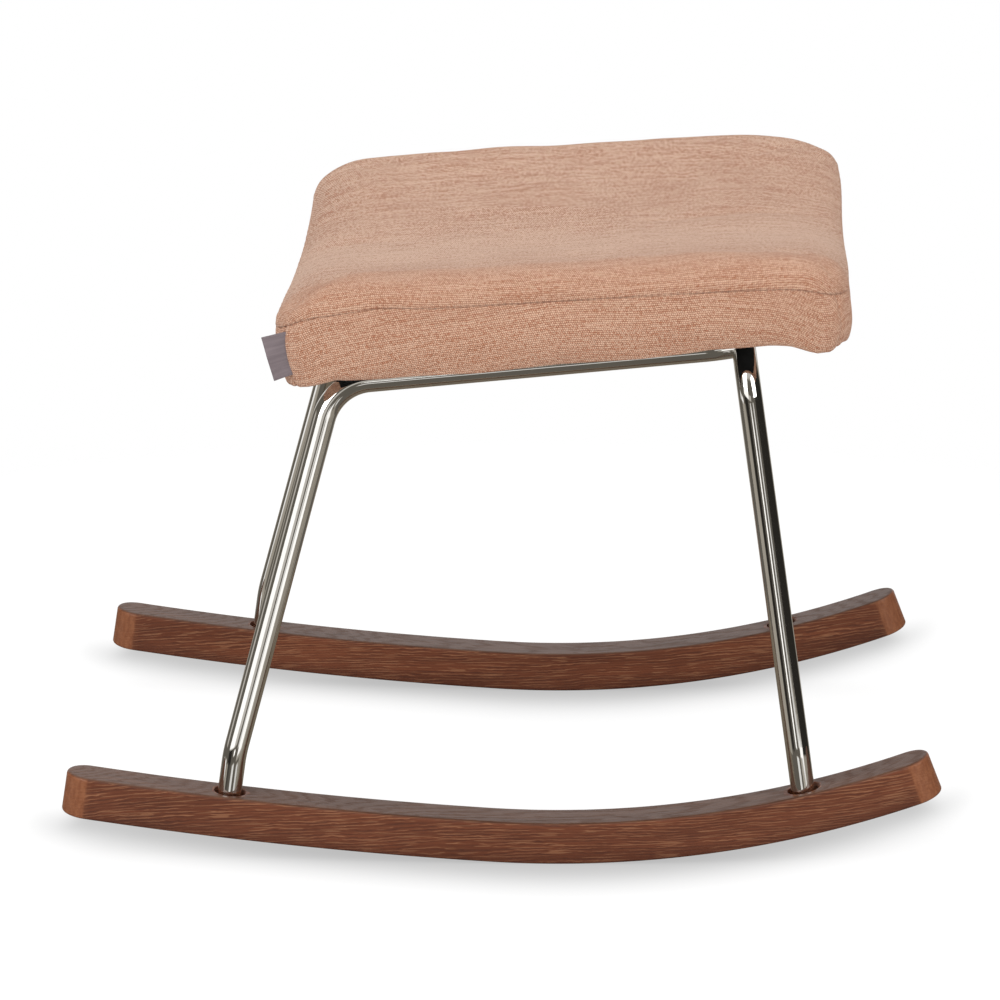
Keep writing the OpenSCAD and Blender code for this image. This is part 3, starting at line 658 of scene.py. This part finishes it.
# A value inside a node tree; sums, differences, products and quotients of it become Math nodes there
class Wire:
    def __init__(self, socket):
        self.socket = socket

    def __add__(self, other):
        return math("ADD", self, other)

    def __sub__(self, other):
        return math("SUBTRACT", self, other)

    def __rsub__(self, other):
        return math("SUBTRACT", other, self)

    def __mul__(self, other):
        return math("MULTIPLY", self, other)

    def __truediv__(self, other):
        return math("DIVIDE", self, other)

    def __abs__(self):
        return math("ABSOLUTE", self)


def treeOf(*values):
    return next(value.socket.id_data for value in values if isinstance(value, Wire))


# Gives inputs their values: a wire is linked, a colour gets its fourth number, anything else is set
def feed(inputs, values):
    for key, value in values.items():
        if isinstance(value, Wire):
            treeOf(value).links.new(value.socket, inputs[key])
        elif isinstance(value, tuple) and inputs[key].type == "RGBA":
            inputs[key].default_value = (*value, 1)
        else:
            inputs[key].default_value = value


def newNode(tree, kind, values=None, output=0, **settings):
    node = tree.nodes.new("ShaderNode" + kind)
    for name, value in settings.items():
        setattr(node, name, value)
    feed(node.inputs, values or {})
    return Wire(node.outputs[output])


# All outputs of the node that a wire comes from, by name
def outputsOf(wire):
    return {output.name: Wire(output) for output in wire.socket.node.outputs}


def math(operation, *values):
    return newNode(treeOf(*values), "Math", dict(enumerate(values)), operation=operation)


def mixColour(share, a, b, blend="MIX"):
    return newNode(treeOf(share, a, b), "Mix", {0: share, 6: a, 7: b}, 2, data_type="RGBA", blend_type=blend)


# Lays colours over a base, each with its share
def layered(base, *layers):
    for share, colour in layers:
        base = mixColour(share, base, colour)
    return base


# Smooth step from one value to another
def ramp(value, lo, hi, outLo=0.0, outHi=1.0):
    values = {"Value": value, "From Min": lo, "From Max": hi, "To Min": outLo, "To Max": outHi}
    return newNode(treeOf(value), "MapRange", values, "Result", interpolation_type="SMOOTHSTEP")


# Noise with so many waves in a metre, the same in all directions or a number for each
def noise(place, waves, detail, rough):
    if isinstance(waves, tuple):
        place = newNode(treeOf(place), "Mapping", {"Vector": place, "Scale": waves})
        waves = 1.0
    values = {"Vector": place, "Scale": waves, "Detail": detail, "Roughness": rough}
    return newNode(treeOf(place), "TexNoise", values, "Fac")


def bump(height, strength, distance, **before):
    values = {"Height": height, "Strength": strength, "Distance": distance, **before}
    return newNode(treeOf(height), "Bump", values)


def attribute(tree, name, kind="Vector"):
    return newNode(tree, "Attribute", output=kind, attribute_name=name)


def objectPlace(tree):
    return newNode(tree, "TexCoord", output="Object")


def parts(vector):
    return list(outputsOf(newNode(treeOf(vector), "SeparateXYZ", {0: vector})).values())


def joined(*values):
    return newNode(treeOf(*values), "CombineXYZ", dict(enumerate(values)))


# A node group with a place and, if it has one, a pitch as its inputs: the group, its inputs as wires and
# the inputs of its output node
def newGroup(name, outputs, pitch=None):
    group = bpy.data.node_groups.new(name, "ShaderNodeTree")
    group.interface.new_socket("Place", in_out="INPUT", socket_type="NodeSocketVector")
    if pitch is not None:
        socket = group.interface.new_socket("Pitch", in_out="INPUT", socket_type="NodeSocketFloat")
        socket.default_value = pitch
    for label in outputs:
        group.interface.new_socket(label, in_out="OUTPUT", socket_type="NodeSocketFloat")
    start = group.nodes.new("NodeGroupInput")
    return group, [Wire(output) for output in start.outputs], group.nodes.new("NodeGroupOutput").inputs


def placeGroup(group, place, **values):
    return outputsOf(newNode(treeOf(place), "Group", {0: place, **values}, node_tree=group))


def newMaterial(name):
    material = bpy.data.materials.new(name)
    material.use_nodes = True
    return material, material.node_tree


def shade(material, values):
    feed(material.node_tree.nodes["Principled BSDF"].inputs, values)
    return material


def dress(piece, material):
    piece.data.materials.clear()
    piece.data.materials.append(material)


# Woven cloth

# The wobble bends the rows by up to half of these lengths; the painted sheen of the hollow is a bell curve
# across the seat; the tone is a sum of shares and runs from warm to pale between two levels
clothLook = {"pitch": 0.00142, "wobble": (0.0016, 0.0011, 0), "drawn": 0.55, "crestAt": 0.169,
    "hollowAt": 0.075, "hollowWidth": 0.055, "grit": 3.2, "crest": 0.8, "slub": 1.9, "fleck": 0.6,
    "cloud": 0.35, "middleTone": 3.35, "toneRange": (2.5, 4.2), "topContrast": 0.9,
    "warm": (0.43, 0.168, 0.088), "pale": (0.73, 0.465, 0.33), "warmTopSheen": (0.43, 0.182, 0.102),
    "paleTopSheen": (0.745, 0.51, 0.38), "shade": (0.30, 0.125, 0.07), "hollowSheen": (0.70, 0.50, 0.40),
    "seam": (0.24, 0.10, 0.06), "thread": (0.16, 0.065, 0.04), "stitch": 0.0042}
ribbonLook = {"pitch": 0.0005, "deep": (0.165, 0.13, 0.14), "pale": (0.225, 0.18, 0.19),
    "shade": (0.08, 0.06, 0.065)}


# Plump crossings in rows, each row set half a pitch on: the height of a crossing, a random tone for each
# one, slubs that run along the rows, and the grit of uneven yarn
def weaveGroup():
    group, start, end = newGroup("plumpWeave", ("Height", "Fleck", "Slub", "Grit"), clothLook["pitch"])
    place, pitch = start[0], start[1]
    wobble = newNode(group, "TexNoise", {"Vector": place, "Scale": 210, "Detail": 2}, "Color")
    shift = newNode(group, "VectorMath", {0: wobble, 1: (0.5, 0.5, 0.5)}, operation="SUBTRACT")
    moved = newNode(group, "VectorMath", {0: shift, 1: clothLook["wobble"], 2: place},
        operation="MULTIPLY_ADD")
    x, y = parts(moved)[:2]
    v = y / pitch
    row = math("FLOOR", v)
    u = x / pitch + row * 0.5
    acrossBump = abs(math("SINE", u * pi))
    alongBump = abs(math("SINE", v * pi))
    height = math("POWER", acrossBump * alongBump, 0.5)
    cell = joined(math("FLOOR", u), row)
    feed(end, {"Height": noise(place, 1900, 3, 0.65) * 0.5 + height,
        "Fleck": newNode(group, "TexWhiteNoise", {"Vector": cell}, "Value", noise_dimensions="2D"),
        "Slub": noise(place, (21, 380, 1), 3, 0.6), "Grit": noise(place, (560, 640, 1), 2, 0.7)})
    return group


# Dark thread line of a seam with its stitches: from the length along it, the distance from it and the
# distance from the nearest corner seam
def stitchGroup():
    group, start, end = newGroup("stitchedSeam", ("Line", "Stitch"))
    walked, above, corner = parts(start[0])
    off = abs(above)
    beat = math("SINE", walked * (2 * pi / clothLook["stitch"]))
    feed(end, {"Line": ramp(math("MINIMUM", off, corner), 0.0002, 0.0010, 1, 0),
        "Stitch": ramp(beat, 0.2, 0.7) * ramp(off, 0.0007, 0.0017, 1, 0)})
    return group


def seatFabric(weave, stitched):
    k = clothLook
    material, tree = newMaterial("seatFabric")
    onTop = attribute(tree, "onTop", "Fac")
    # On the top the weave is drawn out in depth; past the near crest it is square again
    x, y = parts(attribute(tree, "clothPlace"))[:2]
    roll = math("MINIMUM", y + k["crestAt"], 0.0)
    squeeze = (y - roll) * (k["drawn"] - 1.0)
    cloth = placeGroup(weave, joined(x, squeeze * onTop + y), Pitch=k["pitch"])
    seam = placeGroup(stitched, attribute(tree, "seamPlace"))
    upper = onTop * ramp(y, -0.006 - k["crestAt"], 0.01 - k["crestAt"])
    # The hollow of the seat is painted a little paler, a painted sheen where the cloth is seen at a slant
    hollow = (y + k["hollowAt"]) / k["hollowWidth"]
    hollowSheen = math("EXPONENT", hollow * hollow * -1.0) * onTop * 0.22
    # Pale yarn on the crests of the weave, streaked along its rows, with a little chance in each crossing,
    # and the painted sheen of the hollow
    tone = (cloth["Grit"] * k["grit"] + ramp(cloth["Height"], 0.55, 1.2) * k["crest"]
        + cloth["Slub"] * k["slub"] + cloth["Fleck"] * k["fleck"]
        + noise(objectPlace(tree), 11, 3, 0.5) * k["cloud"] + hollowSheen)
    # The flat top is seen at a slant, which evens the weave out, so its contrast is raised there
    tone = (tone - k["middleTone"]) * (upper * k["topContrast"] + 1.0) + k["middleTone"]
    # On the top the warm and pale tones are painted paler and greyer, a painted sheen of the cloth seen at a
    # slant
    warm, pale = mixColour(upper, k["warm"], k["warmTopSheen"]), mixColour(upper, k["pale"], k["paleTopSheen"])
    base = layered(warm, (ramp(tone, *k["toneRange"]), pale), (hollowSheen * 0.8, k["hollowSheen"]),
        (ramp(cloth["Height"], 0.3, 0.9, 0.55, 0.0), k["shade"]),
        (seam["Line"] * 0.13, k["seam"]), (seam["Stitch"] * 0.22, k["thread"]))
    relief = bump(cloth["Height"], 0.75, 0.0009)
    relief = bump(seam["Stitch"] * -1.0, 0.3, 0.0005, Normal=relief)
    return shade(material, {"Base Color": base, "Roughness": 0.95, "Specular IOR Level": 0.15,
        "Sheen Weight": 0.22, "Sheen Roughness": 0.45, "Sheen Tint": (1.0, 0.88, 0.8), "Normal": relief})


def labelRibbon(weave):
    k = ribbonLook
    material, tree = newMaterial("labelRibbon")
    cloth = placeGroup(weave, attribute(tree, "clothPlace"), Pitch=k["pitch"])
    base = layered(k["deep"], (ramp(cloth["Slub"], 0.3, 0.7), k["pale"]),
        (ramp(cloth["Height"], 0.3, 1.0, 0.4, 0.0), k["shade"]))
    return shade(material, {"Base Color": base, "Roughness": 0.6,
        "Normal": bump(cloth["Height"], 0.4, 0.0002)})


# Timber

# The grain's rise along the bar is bend[0] x + bend[1] x2 + bend[2] x3, in metres; the top starts at
# topEdge above the middle of the bar, and its own shade fills the front from shadeTop down to shadeFoot
woodLook = {"bend": (0.02, 0.0825, 0.577), "acrossRings": 60.0, "upRings": 450.0, "sway": 6.5,
    "tremble": 1.3, "deep": (0.128, 0.036, 0.015), "warm": (0.180, 0.053, 0.022),
    "dark": (0.058, 0.017, 0.009), "streak": (0.33, 0.150, 0.072), "endDeep": (0.20, 0.066, 0.027),
    "endWarm": (0.255, 0.094, 0.040), "topPale": (0.118, 0.052, 0.028), "topDeep": (0.088, 0.038, 0.020),
    "topLine": (0.052, 0.022, 0.012), "topEdge": (0.0128, 0.0142), "shadeFoot": -0.0145, "shadeTop": -0.002}
plyLook = {"pale": (0.62, 0.45, 0.27), "deep": (0.42, 0.27, 0.14)}


# Open-pored timber: the height across the grain, swayed by noise, is cut into growth rings; each ring has a
# fine pale line, broken up along the grain, and a dark line of pores beside it; bands where the lines crowd
# together, and broad clouds
def grainGroup():
    k = woodLook
    group, start, end = newGroup("openGrain", ("Bands", "Streaks", "Pores", "Cloud"))
    place = start[0]
    across, up = parts(place)[1:]
    sway, tremble = noise(place, (7, 26, 26), 2, 0.5), noise(place, (75, 260, 260), 2, 0.6)
    ring = math("FRACT", across * k["acrossRings"] + up * k["upRings"] + sway * k["sway"]
        + tremble * k["tremble"])
    pale = ramp(ring, 0.0, 0.12) * ramp(ring, 0.16, 0.36, 1, 0)
    deep = ramp(ring, 0.4, 0.62) * ramp(ring, 0.78, 0.98, 1, 0)
    broken = ramp(noise(place, (48, 520, 520), 2, 0.6), 0.44, 0.56)
    stray = ramp(noise(place, (40, 1000, 1000), 0, 0.5), 0.64, 0.70)
    bands = ramp(noise(place, (5, 85, 85), 2, 0.5), 0.38, 0.62)
    streaks = pale * broken * ramp(bands, 0, 1, 1.0, 0.55)
    feed(end, {"Bands": bands, "Streaks": math("MAXIMUM", streaks, stray * 0.7),
        "Pores": deep * ramp(broken, 0, 1, 0.45, 1.0), "Cloud": noise(place, (9, 45, 45), 3, 0.55)})
    return group


def rockerWood(grain):
    k = woodLook
    material, tree = newMaterial("rockerWood")
    bar = attribute(tree, "barPlace")
    high = parts(bar)[2]
    # The grain bends less than the bar does: it is laid by the height less a cubic in the length
    x, y, z = parts(objectPlace(tree))
    rise = ((x * k["bend"][2] + k["bend"][1]) * x + k["bend"][0]) * x
    wood = placeGroup(grain, joined(x, y, z - rise))
    # The top is painted paler and greyer, a painted sheen of the lacquer lit from above, with lines of the
    # grain along the bar
    upper = ramp(high, *k["topEdge"])
    lines = noise(bar, (16, 700, 1), 3, 0.6)
    topSheenAndGrain = layered(k["topPale"], (ramp(wood["Cloud"], 0.35, 0.65), k["topDeep"]),
        (ramp(lines, 0.42, 0.68, 0.0, 0.75), k["topLine"]))
    # The round ends are painted paler and warmer, painted light on their lit curve, mottled by noise
    cut = ramp(noise(bar, (400, 400, 160), 3, 0.6), 0.3, 0.7)
    endShare = attribute(tree, "endShare", "Fac") * (1.0 - upper)
    base = layered(k["deep"], (ramp(wood["Cloud"], 0.3, 0.7), k["warm"]), (wood["Bands"] * 0.3, k["dark"]),
        (wood["Pores"] * 0.55, k["dark"]), (wood["Streaks"] * 0.66, k["streak"]), (upper * 0.9, topSheenAndGrain),
        (ramp(high, k["shadeFoot"], k["shadeTop"], 0.42, 0.0), k["dark"]),
        (endShare, mixColour(cut, k["endDeep"], k["endWarm"])))
    return shade(material, {"Base Color": base, "Roughness": wood["Pores"] * 0.15 + 0.42,
        "Specular IOR Level": 0.25, "Coat Weight": 0.08, "Coat Roughness": 0.2,
        "Normal": bump(wood["Streaks"] - wood["Pores"], 0.25, 0.0003)})


def plywood(grain):
    material, tree = newMaterial("plywoodSheet")
    wood = placeGroup(grain, objectPlace(tree))
    base = mixColour(wood["Bands"], plyLook["pale"], plyLook["deep"])
    return shade(material, {"Base Color": base, "Roughness": 0.7})


# Metal and the black panel

# Colour, colour where it is smudged, and the roughness there and elsewhere
metalLook = {"frameChrome": ((0.80, 0.78, 0.745), (0.74, 0.72, 0.68), 0.035, 0.075),
    "zincSteel": ((0.58, 0.59, 0.60), (0.45, 0.45, 0.46), 0.28, 0.42),
    "darkSteel": ((0.30, 0.30, 0.31), (0.22, 0.22, 0.23), 0.3, 0.45)}
panelLook = {"deep": (0.006, 0.006, 0.007), "pale": (0.014, 0.014, 0.015)}


# Fine handling marks: soft smudges and short hairlines
def wearGroup():
    group, start, end = newGroup("handling", ("Smudge", "Hairline"))
    feed(end, {"Smudge": noise(start[0], 34, 4, 0.6), "Hairline": noise(start[0], (900, 900, 60), 2, 0.5)})
    return group


def metal(name, wear):
    colour, dark, roughLo, roughHi = metalLook[name]
    material, tree = newMaterial(name)
    marks = placeGroup(wear, objectPlace(tree))
    return shade(material, {"Base Color": mixColour(ramp(marks["Smudge"], 0.35, 0.75), colour, dark),
        "Metallic": 1.0, "Roughness": ramp(marks["Smudge"], 0.3, 0.8, roughLo, roughHi),
        "Normal": bump(marks["Hairline"], 0.04, 0.0002)})


def blackPanel(wear):
    material, tree = newMaterial("blackPanel")
    smudge = placeGroup(wear, objectPlace(tree))["Smudge"]
    return shade(material, {"Base Color": mixColour(smudge, panelLook["deep"], panelLook["pale"]),
        "Roughness": ramp(smudge, 0.3, 0.7, 0.6, 0.75), "Specular IOR Level": 0.2,
        "Normal": bump(noise(objectPlace(tree), 900, 2, 0.6), 0.1, 0.0003)})


# Camera, lights, room and floor

viewLook = {"focal": 5149.0, "distance": 3601.0, "pitch": radians(15.09), "yaw": radians(0.85),
    "aim": (-3.6, 0.0, 195.5), "picture": 1000, "sensor": 36}
# Place, aim, size and watts
lightLook = {"keyLight": ((-1.5, -2.0, 1.9), (0, 0, 0.2), (1.8, 1.8), 43),
    "fillLight": ((1.9, -1.8, 1.6), (0, 0, 0.2), (1.6, 1.6), 28),
    "topLight": ((0, 0.6, 2.8), (0, 0, 0), (2.4, 2.0), 9)}
# What polished metal sees, by the direction it looks in, in degrees. A patch: azimuth from the front and its
# half width, height above level and its half height, brightness. The gloomy sectors have none.
roomLook = {"base": 0.13, "dark": 0.025, "tint": (1.0, 0.92, 0.79), "daylight": 0.62, "ceiling": 0.6,
    "ceilingFrom": (34, 46), "behindFrom": (128, 150), "backdrop": (-6, 4, 0.38, 0.95),
    "gloomy": [((36, 46), (125, 145)), ((-60, -54), (-30, -24))], "gloomFrom": (-16, -10),
    "patches": [(-38, 20, 11, 6.5, 1.35), (35, 13, -7, 6, 1.3), (18, 5, 0, 3.5, 0.85),
    (-8, 11, 8, 4.5, 0.6), (-7, 5, -3.5, 3, 1.5), (-70, 19, -15, 5, 0.4), (-98, 9, 9, 6, 0.55),
    (-88, 15, -9, 3, 1.1), (-4, 9, -19, 3, 0.9), (35, 8, -24, 3, 0.8), (38, 20, -14, 3, 0.45),
    (72, 27, -19, 10, 0.34)]}
# The soft shadow in front of each rocker: depth, spread towards the viewer, how far back the shadow of a
# raised end lies for each unit of its height, where it thins out along the rocker and behind it, and how
# much further outside the ends
shadowLook = {"depth": 0.43, "spread": 0.046, "back": (2.88, 3.23), "ends": (0.28, 0.345),
    "behind": (-0.105, -0.015), "outside": (0.27, 0.31), "outsideBy": -0.06}
floorLook = {"radius": 1000, "rings": 10, "spokes": 96, "fade": (0.70, 0.95), "metalFade": (0.24, 0.30),
    "lift": 0.87, "seenTone": (0.2, 0.2, 0.2), "tone": (0.8, 0.8, 0.8), "metalTone": (0.22, 0.185, 0.14)}
white = (1.0, 1.0, 1.0)


# Links a camera or lamp and turns it by its right, up and back directions
def setUp(name, data, right, up, back, place):
    thing = linked(name, data)
    turn = Matrix(np.stack([right, up, back], axis=1).tolist()).to_4x4()
    turn.translation = list(place)
    thing.matrix_world = turn
    return thing


# Camera at the photograph's angle: right, up and back directions from yaw and pitch
def makeCamera():
    k = viewLook
    c, s, cp, sp = cos(k["yaw"]), sin(k["yaw"]), cos(k["pitch"]), sin(k["pitch"])
    ahead = np.array([-s * cp, c * cp, -sp])
    right = np.array([c, s, 0])
    data = bpy.data.cameras.new("camera")
    data.sensor_width = k["sensor"]
    data.lens = k["focal"] / k["picture"] * k["sensor"]
    data.clip_start, data.clip_end = 0.05, 60
    place = (np.array(k["aim"]) - k["distance"] * ahead) * mm
    bpy.context.scene.camera = setUp("camera", data, right, np.cross(right, ahead), -ahead, place)


def makeLight(name):
    place, aim, size, watts = lightLook[name]
    data = bpy.data.lights.new(name, "AREA")
    data.shape, data.size, data.size_y = "RECTANGLE", size[0], size[1]
    data.energy = watts
    back = unit(np.array(place, float) - np.array(aim, float))
    right = unit(np.cross([0, 0, 1], back))
    setUp(name, data, right, np.cross(back, right), back, place).visible_camera = False


# White to the camera, an even daylight to matt surfaces, and to polished ones a dim room with bright
# panels in front, a bright ceiling and the white backdrop behind
def makeWorld():
    k = roomLook
    world = bpy.data.worlds.new("studio")
    bpy.context.scene.world = world
    world.use_nodes = True
    tree = world.node_tree
    path = outputsOf(newNode(tree, "LightPath"))
    x, y, z = parts(newNode(tree, "TexCoord", output="Generated"))
    azimuth = math("ARCTAN2", x, y * -1.0) * (180 / pi)
    height = math("ARCSINE", z) * (180 / pi)
    level = ramp(height, *k["ceilingFrom"], 0.0, k["ceiling"])
    for middle, half, rise, halfRise, bright in k["patches"]:
        inWidth = ramp(abs(azimuth - middle), half - 1.5, half + 1.5, 1, 0)
        inHeight = ramp(abs(height - rise), halfRise - 1.5, halfRise + 2, 1, 0)
        level = math("MAXIMUM", level, inWidth * inHeight * bright)
    behind = ramp(abs(azimuth), *k["behindFrom"])
    level = math("MAXIMUM", level, behind * ramp(height, *k["backdrop"]))
    sectors = [ramp(azimuth, *start) * ramp(azimuth, *stop, 1, 0) for start, stop in k["gloomy"]]
    gloom = math("MAXIMUM", *sectors) * ramp(height, *k["gloomFrom"])
    level = math("MAXIMUM", level, gloom * (k["dark"] - k["base"]) + k["base"])
    metalSees = math("MAXIMUM", path["Is Glossy Ray"], path["Is Transmission Ray"])
    seen = mixColour(ramp(level, 0.3, 0.8), k["tint"], white)
    strength = metalSees * (level - k["daylight"]) + k["daylight"]
    feed(tree.nodes["Background"].inputs, {"Color": mixColour(metalSees, white, seen),
        "Strength": math("MAXIMUM", strength, path["Is Camera Ray"])})


# Share of shadow at a place on the floor: it lies along each rocker's running face, set back in step with
# that face's height, thins out towards the viewer as a bell curve and stops past the rocker's ends
def rockerShadow(x, y):
    k, r = shadowLook, rockerLook
    contact, change = r["contactX"] * mm, (r["contactX"] - r["change"]) * mm
    slope, joint = r["change"] / r["frontR"], r["change"] ** 2 / (2 * r["frontR"]) * mm
    ahead, past = x - contact, change - x
    front = ahead * ahead / (2 * r["frontR"] * mm)
    tail = past * slope + joint + past * past / (2 * r["tailR"] * mm)
    lifted = math("GREATER_THAN", past, 0.0) * (tail - front) + front
    outside = ramp(abs(x), *k["outside"]) * k["outsideBy"]
    shares = []
    for side, back in zip((-1, 1), k["back"]):
        edge = (side * r["track"] / 2 - r["width"] / 2) * mm
        before = lifted * back + edge - y
        off = math("MAXIMUM", before, 0.0) / k["spread"]
        shares.append(math("EXPONENT", off * off * -1.0) * ramp(outside + before, *k["behind"]))
    return math("MAXIMUM", *shares) * ramp(abs(x), *k["ends"], 1, 0)


# A white disc that fades out before its rim, and that polished metal sees as a dim patch near the feet
def makeFloor():
    k = floorLook
    n = k["spokes"]
    a = roundSteps(n)
    r = np.linspace(0, k["radius"], k["rings"] + 1)[1:, None]
    disc = pointsOf(r * cos(a), r * sin(a), 0 * r * a)
    points = strung(disc.reshape(-1, 3), [[0, 0, 0]])
    fan = [[i, (i + 1) % n, k["rings"] * n] for i in range(n)]
    floor = makePiece("floor", points, gridFaces(k["rings"], n, wrapCols=True), smooth=False, extra=fan)
    material, tree = newMaterial("paleFloor")
    path = outputsOf(newNode(tree, "LightPath"))
    metalSees, eyeSees = path["Is Glossy Ray"], path["Is Camera Ray"]
    place = objectPlace(tree)
    x, y = parts(place)[:2]
    clear = 1.0 - rockerShadow(x, y) * shadowLook["depth"]
    dust = ramp(noise(place, 3, 2, 0.5), 0.3, 0.7, 1.0, 0.98)
    seen = mixColour(1.0, k["seenTone"], clear * dust, "MULTIPLY")
    tone = mixColour(metalSees, mixColour(eyeSees, k["tone"], seen), k["metalTone"])
    away = math("SQRT", x * x + y * y)
    shown = ramp(away, *k["fade"], 1, 0) * (1.0 - metalSees * ramp(away, *k["metalFade"]))
    dress(floor, shade(material, {"Base Color": tone, "Roughness": 1.0, "Specular IOR Level": 0.0,
        "Emission Color": white, "Emission Strength": eyeSees * k["lift"] * clear, "Alpha": shown}))


# Build

makeCamera()
grain, weave, wear = grainGroup(), weaveGroup(), wearGroup()
wood, fabric, ribbon = rockerWood(grain), seatFabric(weave, stitchGroup()), labelRibbon(weave)
chrome, zinc, darkSteel = (metal(name, wear) for name in metalLook)
panel, sheet = blackPanel(wear), plywood(grain)
print("stage: materials")

for name, node, side in (("nearRocker", "near_rocker", -1), ("farRocker", "far_rocker", 1)):
    rocker = makeRocker(name, side)
    dress(rocker, wood)
    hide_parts(node)
print("stage: rockers")

k = frameLook
sideRadii = [0, k["footBendR"], k["kneeR"], k["turnR"], 0]
hoopRadii = [0, k["footBendR"], k["hoopR"], k["hoopR"], k["footBendR"], 0]
crossY = k["railY"] - k["crossInset"]
crossEnds = [[k["crossX"], y, railHeight(k["crossX"])] for y in (-crossY, crossY)]
for name, node, corners, radii, reference in (
        ("nearSideTube", "near_side_tube", sideCorners(-1), sideRadii, (0, 1, 0)),
        ("farSideTube", "far_side_tube", sideCorners(1), sideRadii, (0, 1, 0)),
        ("rightLegHoop", "right_leg_hoop", hoopCorners(), hoopRadii, (1, 0, 0)),
        ("leftCrossTube", "left_cross_tube", crossEnds, [0, 0], (1, 0, 0))):
    tube = makeTube(name, corners, radii, reference)
    dress(tube, chrome)
    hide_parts(node)
print("stage: tubes")

dress(makeCushion(), fabric)
dress(makeLabel(), ribbon)
print("stage: cushion and label")

for node, material in (("seat_tabs", chrome), ("foot_plugs", zinc), ("rocker_washers", zinc),
        ("seat_washers", zinc), ("t_nuts", zinc), ("rocker_bolts", darkSteel),
        ("seat_screws", darkSteel), ("base_panel", panel), ("seat_board", sheet)):
    dress(nodes[node], material)
makeWorld()
makeFloor()
for name in lightLook:
    makeLight(name)

bpy.context.scene.view_settings.view_transform = "Standard"
